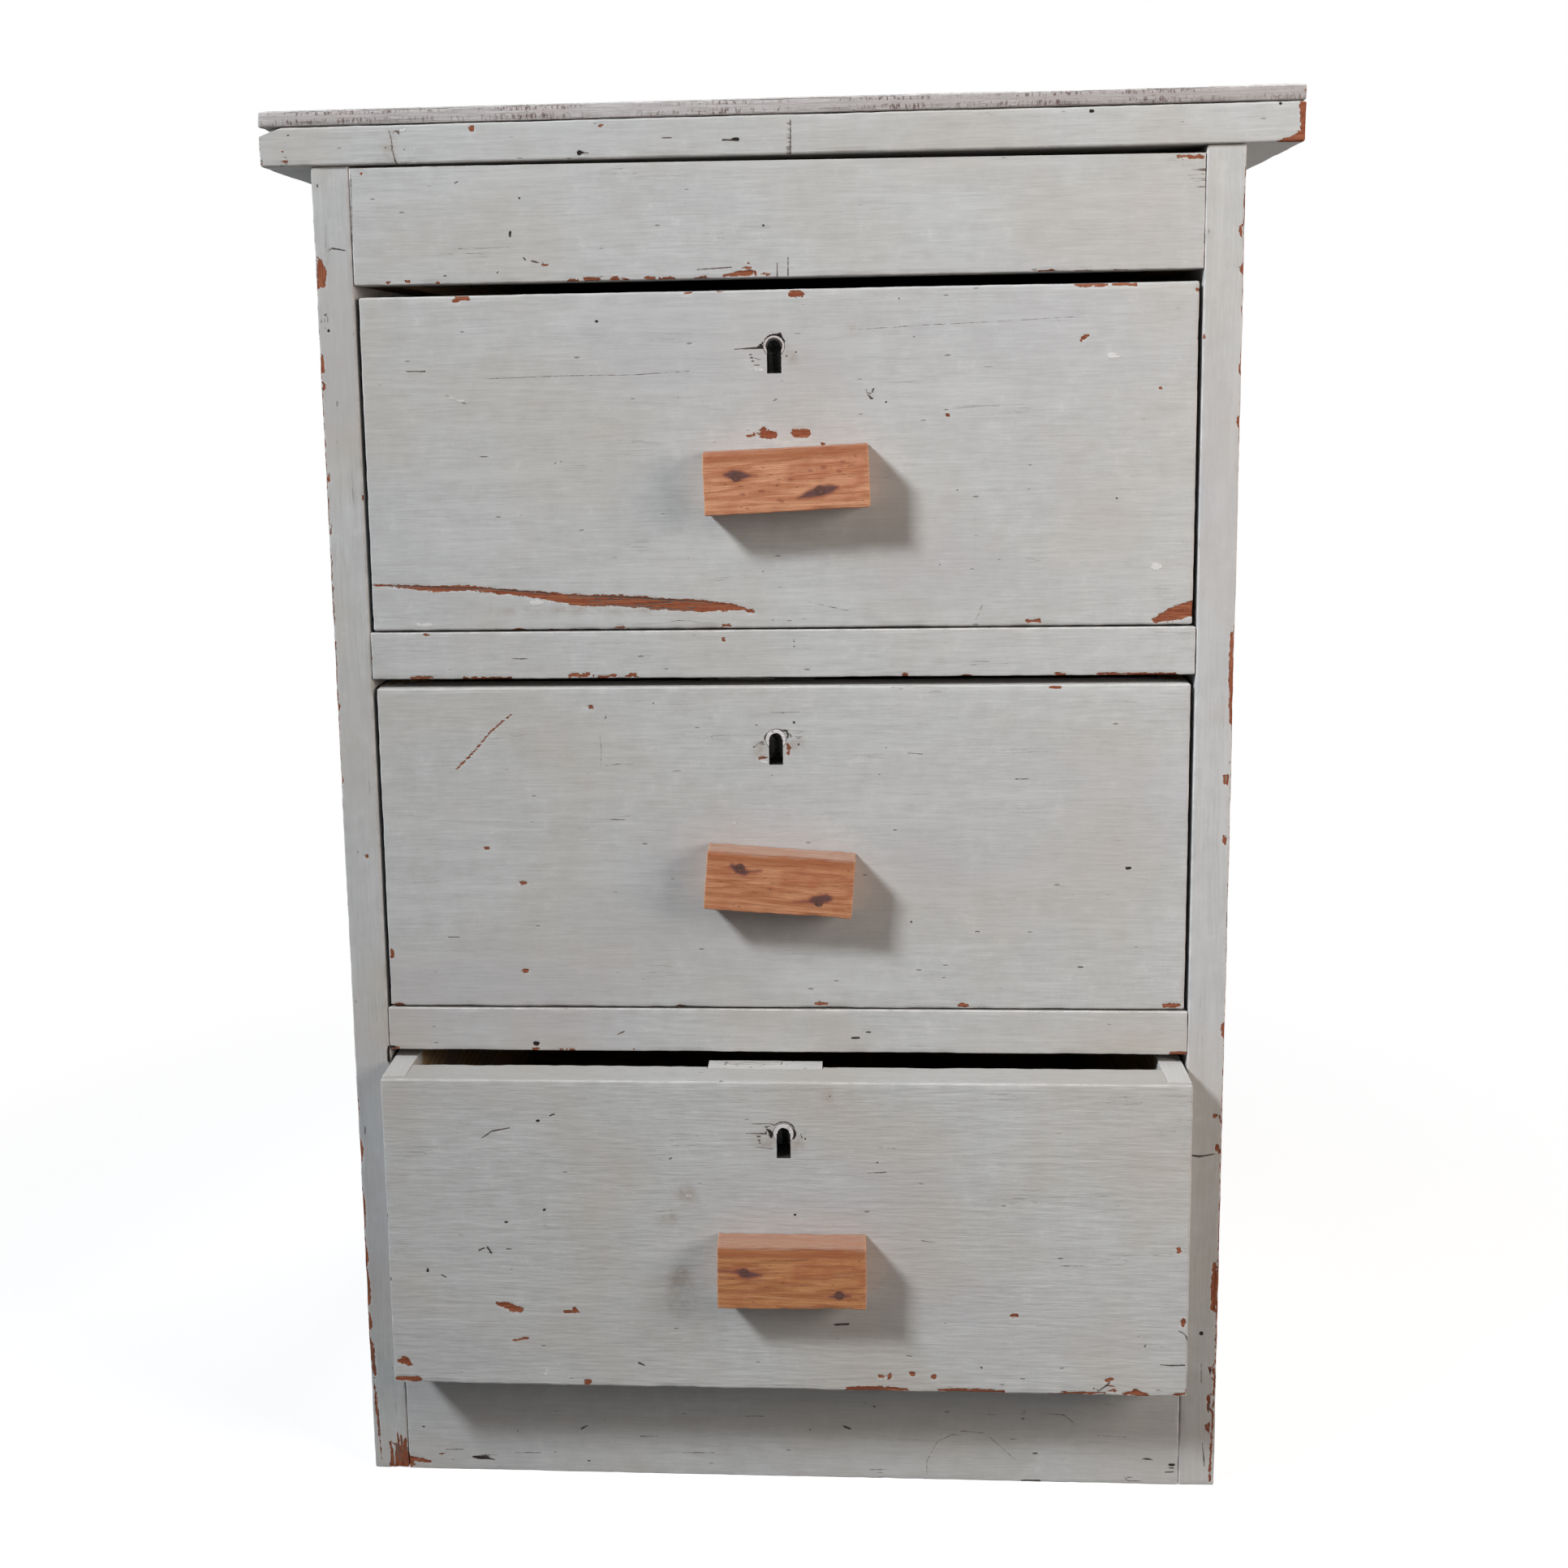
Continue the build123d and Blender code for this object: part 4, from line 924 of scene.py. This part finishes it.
# Width, height and tilt of each block, light and deep wood, share of pale top (wear and dust, with
# painted light from above), and rust stains
handle_depth = 20.0
handles = {
    "upper": (98.9, 37.8, 2.2, "#C48B67", "#A2623C", 0.15, [
        [(893, 585, 2), (903, 585, 6), (911, 586, 6), (926, 586, 1)],
        [(983, 614, 1), (998, 609, 5), (1012, 605, 7), (1024, 602, 5), (1032, 600, 1.5)],
        [(922, 586, 0.6), (932, 586, 0.3)], (998, 580, 4, 1.2), (1014.5, 575.6, 4, 1.2),
        (1038.5, 569, 4, 1.6), (1034, 580.6, 4, 1.2), (974, 591, 4, 1.2), (915, 609, 4, 1.0),
        (939, 605.5, 4, 1.4), (962, 617, 6, 1.2, 20)]),
    "middle": (91.3, 37.6, -4.2, "#B87F59", "#985A36", 0.7, [
        [(902, 1067, 3), (910, 1072, 5), (917, 1075, 4), (924, 1074, 1), (938, 1073, 0.8)],
        [(978, 1111, 0.8), (996, 1111, 1.5), (1003, 1109, 5), (1018, 1107, 5.5), (1023, 1107, 3)]]),
    "lower": (91.8, 40.5, 0.0, "#B07748", "#8B5128", 0.6, [
        [(908, 1566, 2), (916, 1569, 6), (922, 1571, 5), (938, 1571, 1)],
        [(882, 1565.5, 0.8), (900, 1567, 1), (912, 1568, 2)],
        [(1022, 1598, 1), (1034, 1597, 3.5), (1048, 1597, 1)]]),
}
for drawer, (width, height, tilt, light, deep, worn, rust_marks) in handles.items():
    node = drawer + "_drawer_handle"
    low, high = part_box(node)
    half = Vector((width, handle_depth, height)) / 2 * mm
    shape = board_shape(-half, half, (1.1, 1.3, 1.1), 0.8 * mm)
    block = from_shape(drawer + "_pine_handle", shape)
    new_points = points_of(block)
    weather(block, -half, half, hollows=0.3, rounding=0.7)
    keep(block, "timber", new_points / mm)
    to_end = (half.x - np.abs(new_points[:, 0])) / mm
    keep(block, "end", np.clip(1 - to_end / 3, 0, 1))
    turn = Matrix.Rotation(math.radians(-tilt), 4, "Y")
    block.data.transform(Matrix.Translation((low + high) / 2) @ turn)
    stains, _ = nearest_mark(rust_marks, points_of(block), low.y, 4.0)
    block.data.attributes["dark"].data.foreach_set("vector", stains.ravel())
    pine = oiled_pine("oiled bare pine of the " + drawer + " handle", light, deep, height / 2, worn)
    finish_piece(block, drawer + "_drawer", pine, "bare_pine", node)


# Floor, background and light. A white studio sweep that keeps the unit's soft shadow, one lamp
# high on the left for the main shadows, a wider, weaker one on the right, and one for the back.
def seen_directly(tree):
    """1 for the camera's own rays and for sharp ones, which see white paper, and 0 for others."""
    path = add(tree, "LightPath")
    sharp = calc(tree, "MAXIMUM", path.outputs["Is Glossy Ray"], path.outputs["Is Transmission Ray"])
    return calc(tree, "MAXIMUM", path.outputs["Is Camera Ray"], sharp)


floor_reach = 6
shadow_start = 0.35
shadow_end = 1.0
shape = bmesh.new()
bmesh.ops.create_grid(shape, x_segments=1, y_segments=1, size=floor_reach)
floor = from_shape("studio_floor", shape)
material, tree, _ = new_material("white studio floor")
tree.nodes.clear()
lit = add(tree, "BsdfDiffuse", {"Color": tone("#828282")})
paper = add(tree, "BsdfDiffuse", {"Color": tone("#C4C4C4")})
white = add(tree, "Emission", {"Strength": 1.0})
glow = add(tree, "Emission", {"Strength": 0.62})
own = add(tree, "TexCoord").outputs["Object"]
distance = add(tree, "VectorMath", {0: own}, operation="LENGTH").outputs["Value"]
far = add(tree, "MapRange", {"Value": distance, "From Min": shadow_start,
                              "From Max": shadow_end}, interpolation_type="SMOOTHSTEP")
near = add(tree, "AddShader", {0: paper, 1: glow})
shown = add(tree, "MixShader", {0: far.outputs[0], 1: near, 2: white})
surface = add(tree, "MixShader", {0: seen_directly(tree), 1: lit, 2: shown})
add(tree, "OutputMaterial", {"Surface": surface})
floor.data.materials.append(material)

world = bpy.data.worlds.new("studio")
world.use_nodes = True
bpy.context.scene.world = world
tree = world.node_tree
tree.nodes.clear()
ambient = add(tree, "Background", {"Color": (1, 1, 1, 1), "Strength": 0.015})
white = add(tree, "Background", {"Color": (1, 1, 1, 1), "Strength": 1.0})
sky = add(tree, "MixShader", {0: seen_directly(tree), 1: ambient, 2: white})
add(tree, "OutputWorld", {"Surface": sky})


def lamp(name, colour, place, target, size, power, spread=180):
    """A square soft light that looks at a point of the unit, and spreads by an angle in degrees."""
    data = bpy.data.lights.new(name, "AREA")
    data.size = size
    data.color = colour
    data.energy = power
    data.spread = math.radians(spread)
    light = new_object(name, data)
    light.location = place
    light.rotation_euler = (Vector(target) - Vector(place)).to_track_quat("-Z", "Y").to_euler()


cool_white = (0.92, 0.96, 1.0)
warm_white = (1.0, 0.89, 0.81)
lamp("left_main_light", cool_white, (-2.60, -2.10, 3.30), (0.88, -0.2, 0.30), 0.7, 21.6, 52)
lamp("right_soft_light", warm_white, (1.50, -1.00, 1.00), (0.1, -0.2, 0.35), 0.8, 21)
lamp("back_soft_light", cool_white, (0.9, 2.3, 1.9), (0, 0.1, 0.4), 1.4, 45)

scene = bpy.context.scene
scene.view_settings.view_transform = "Standard"
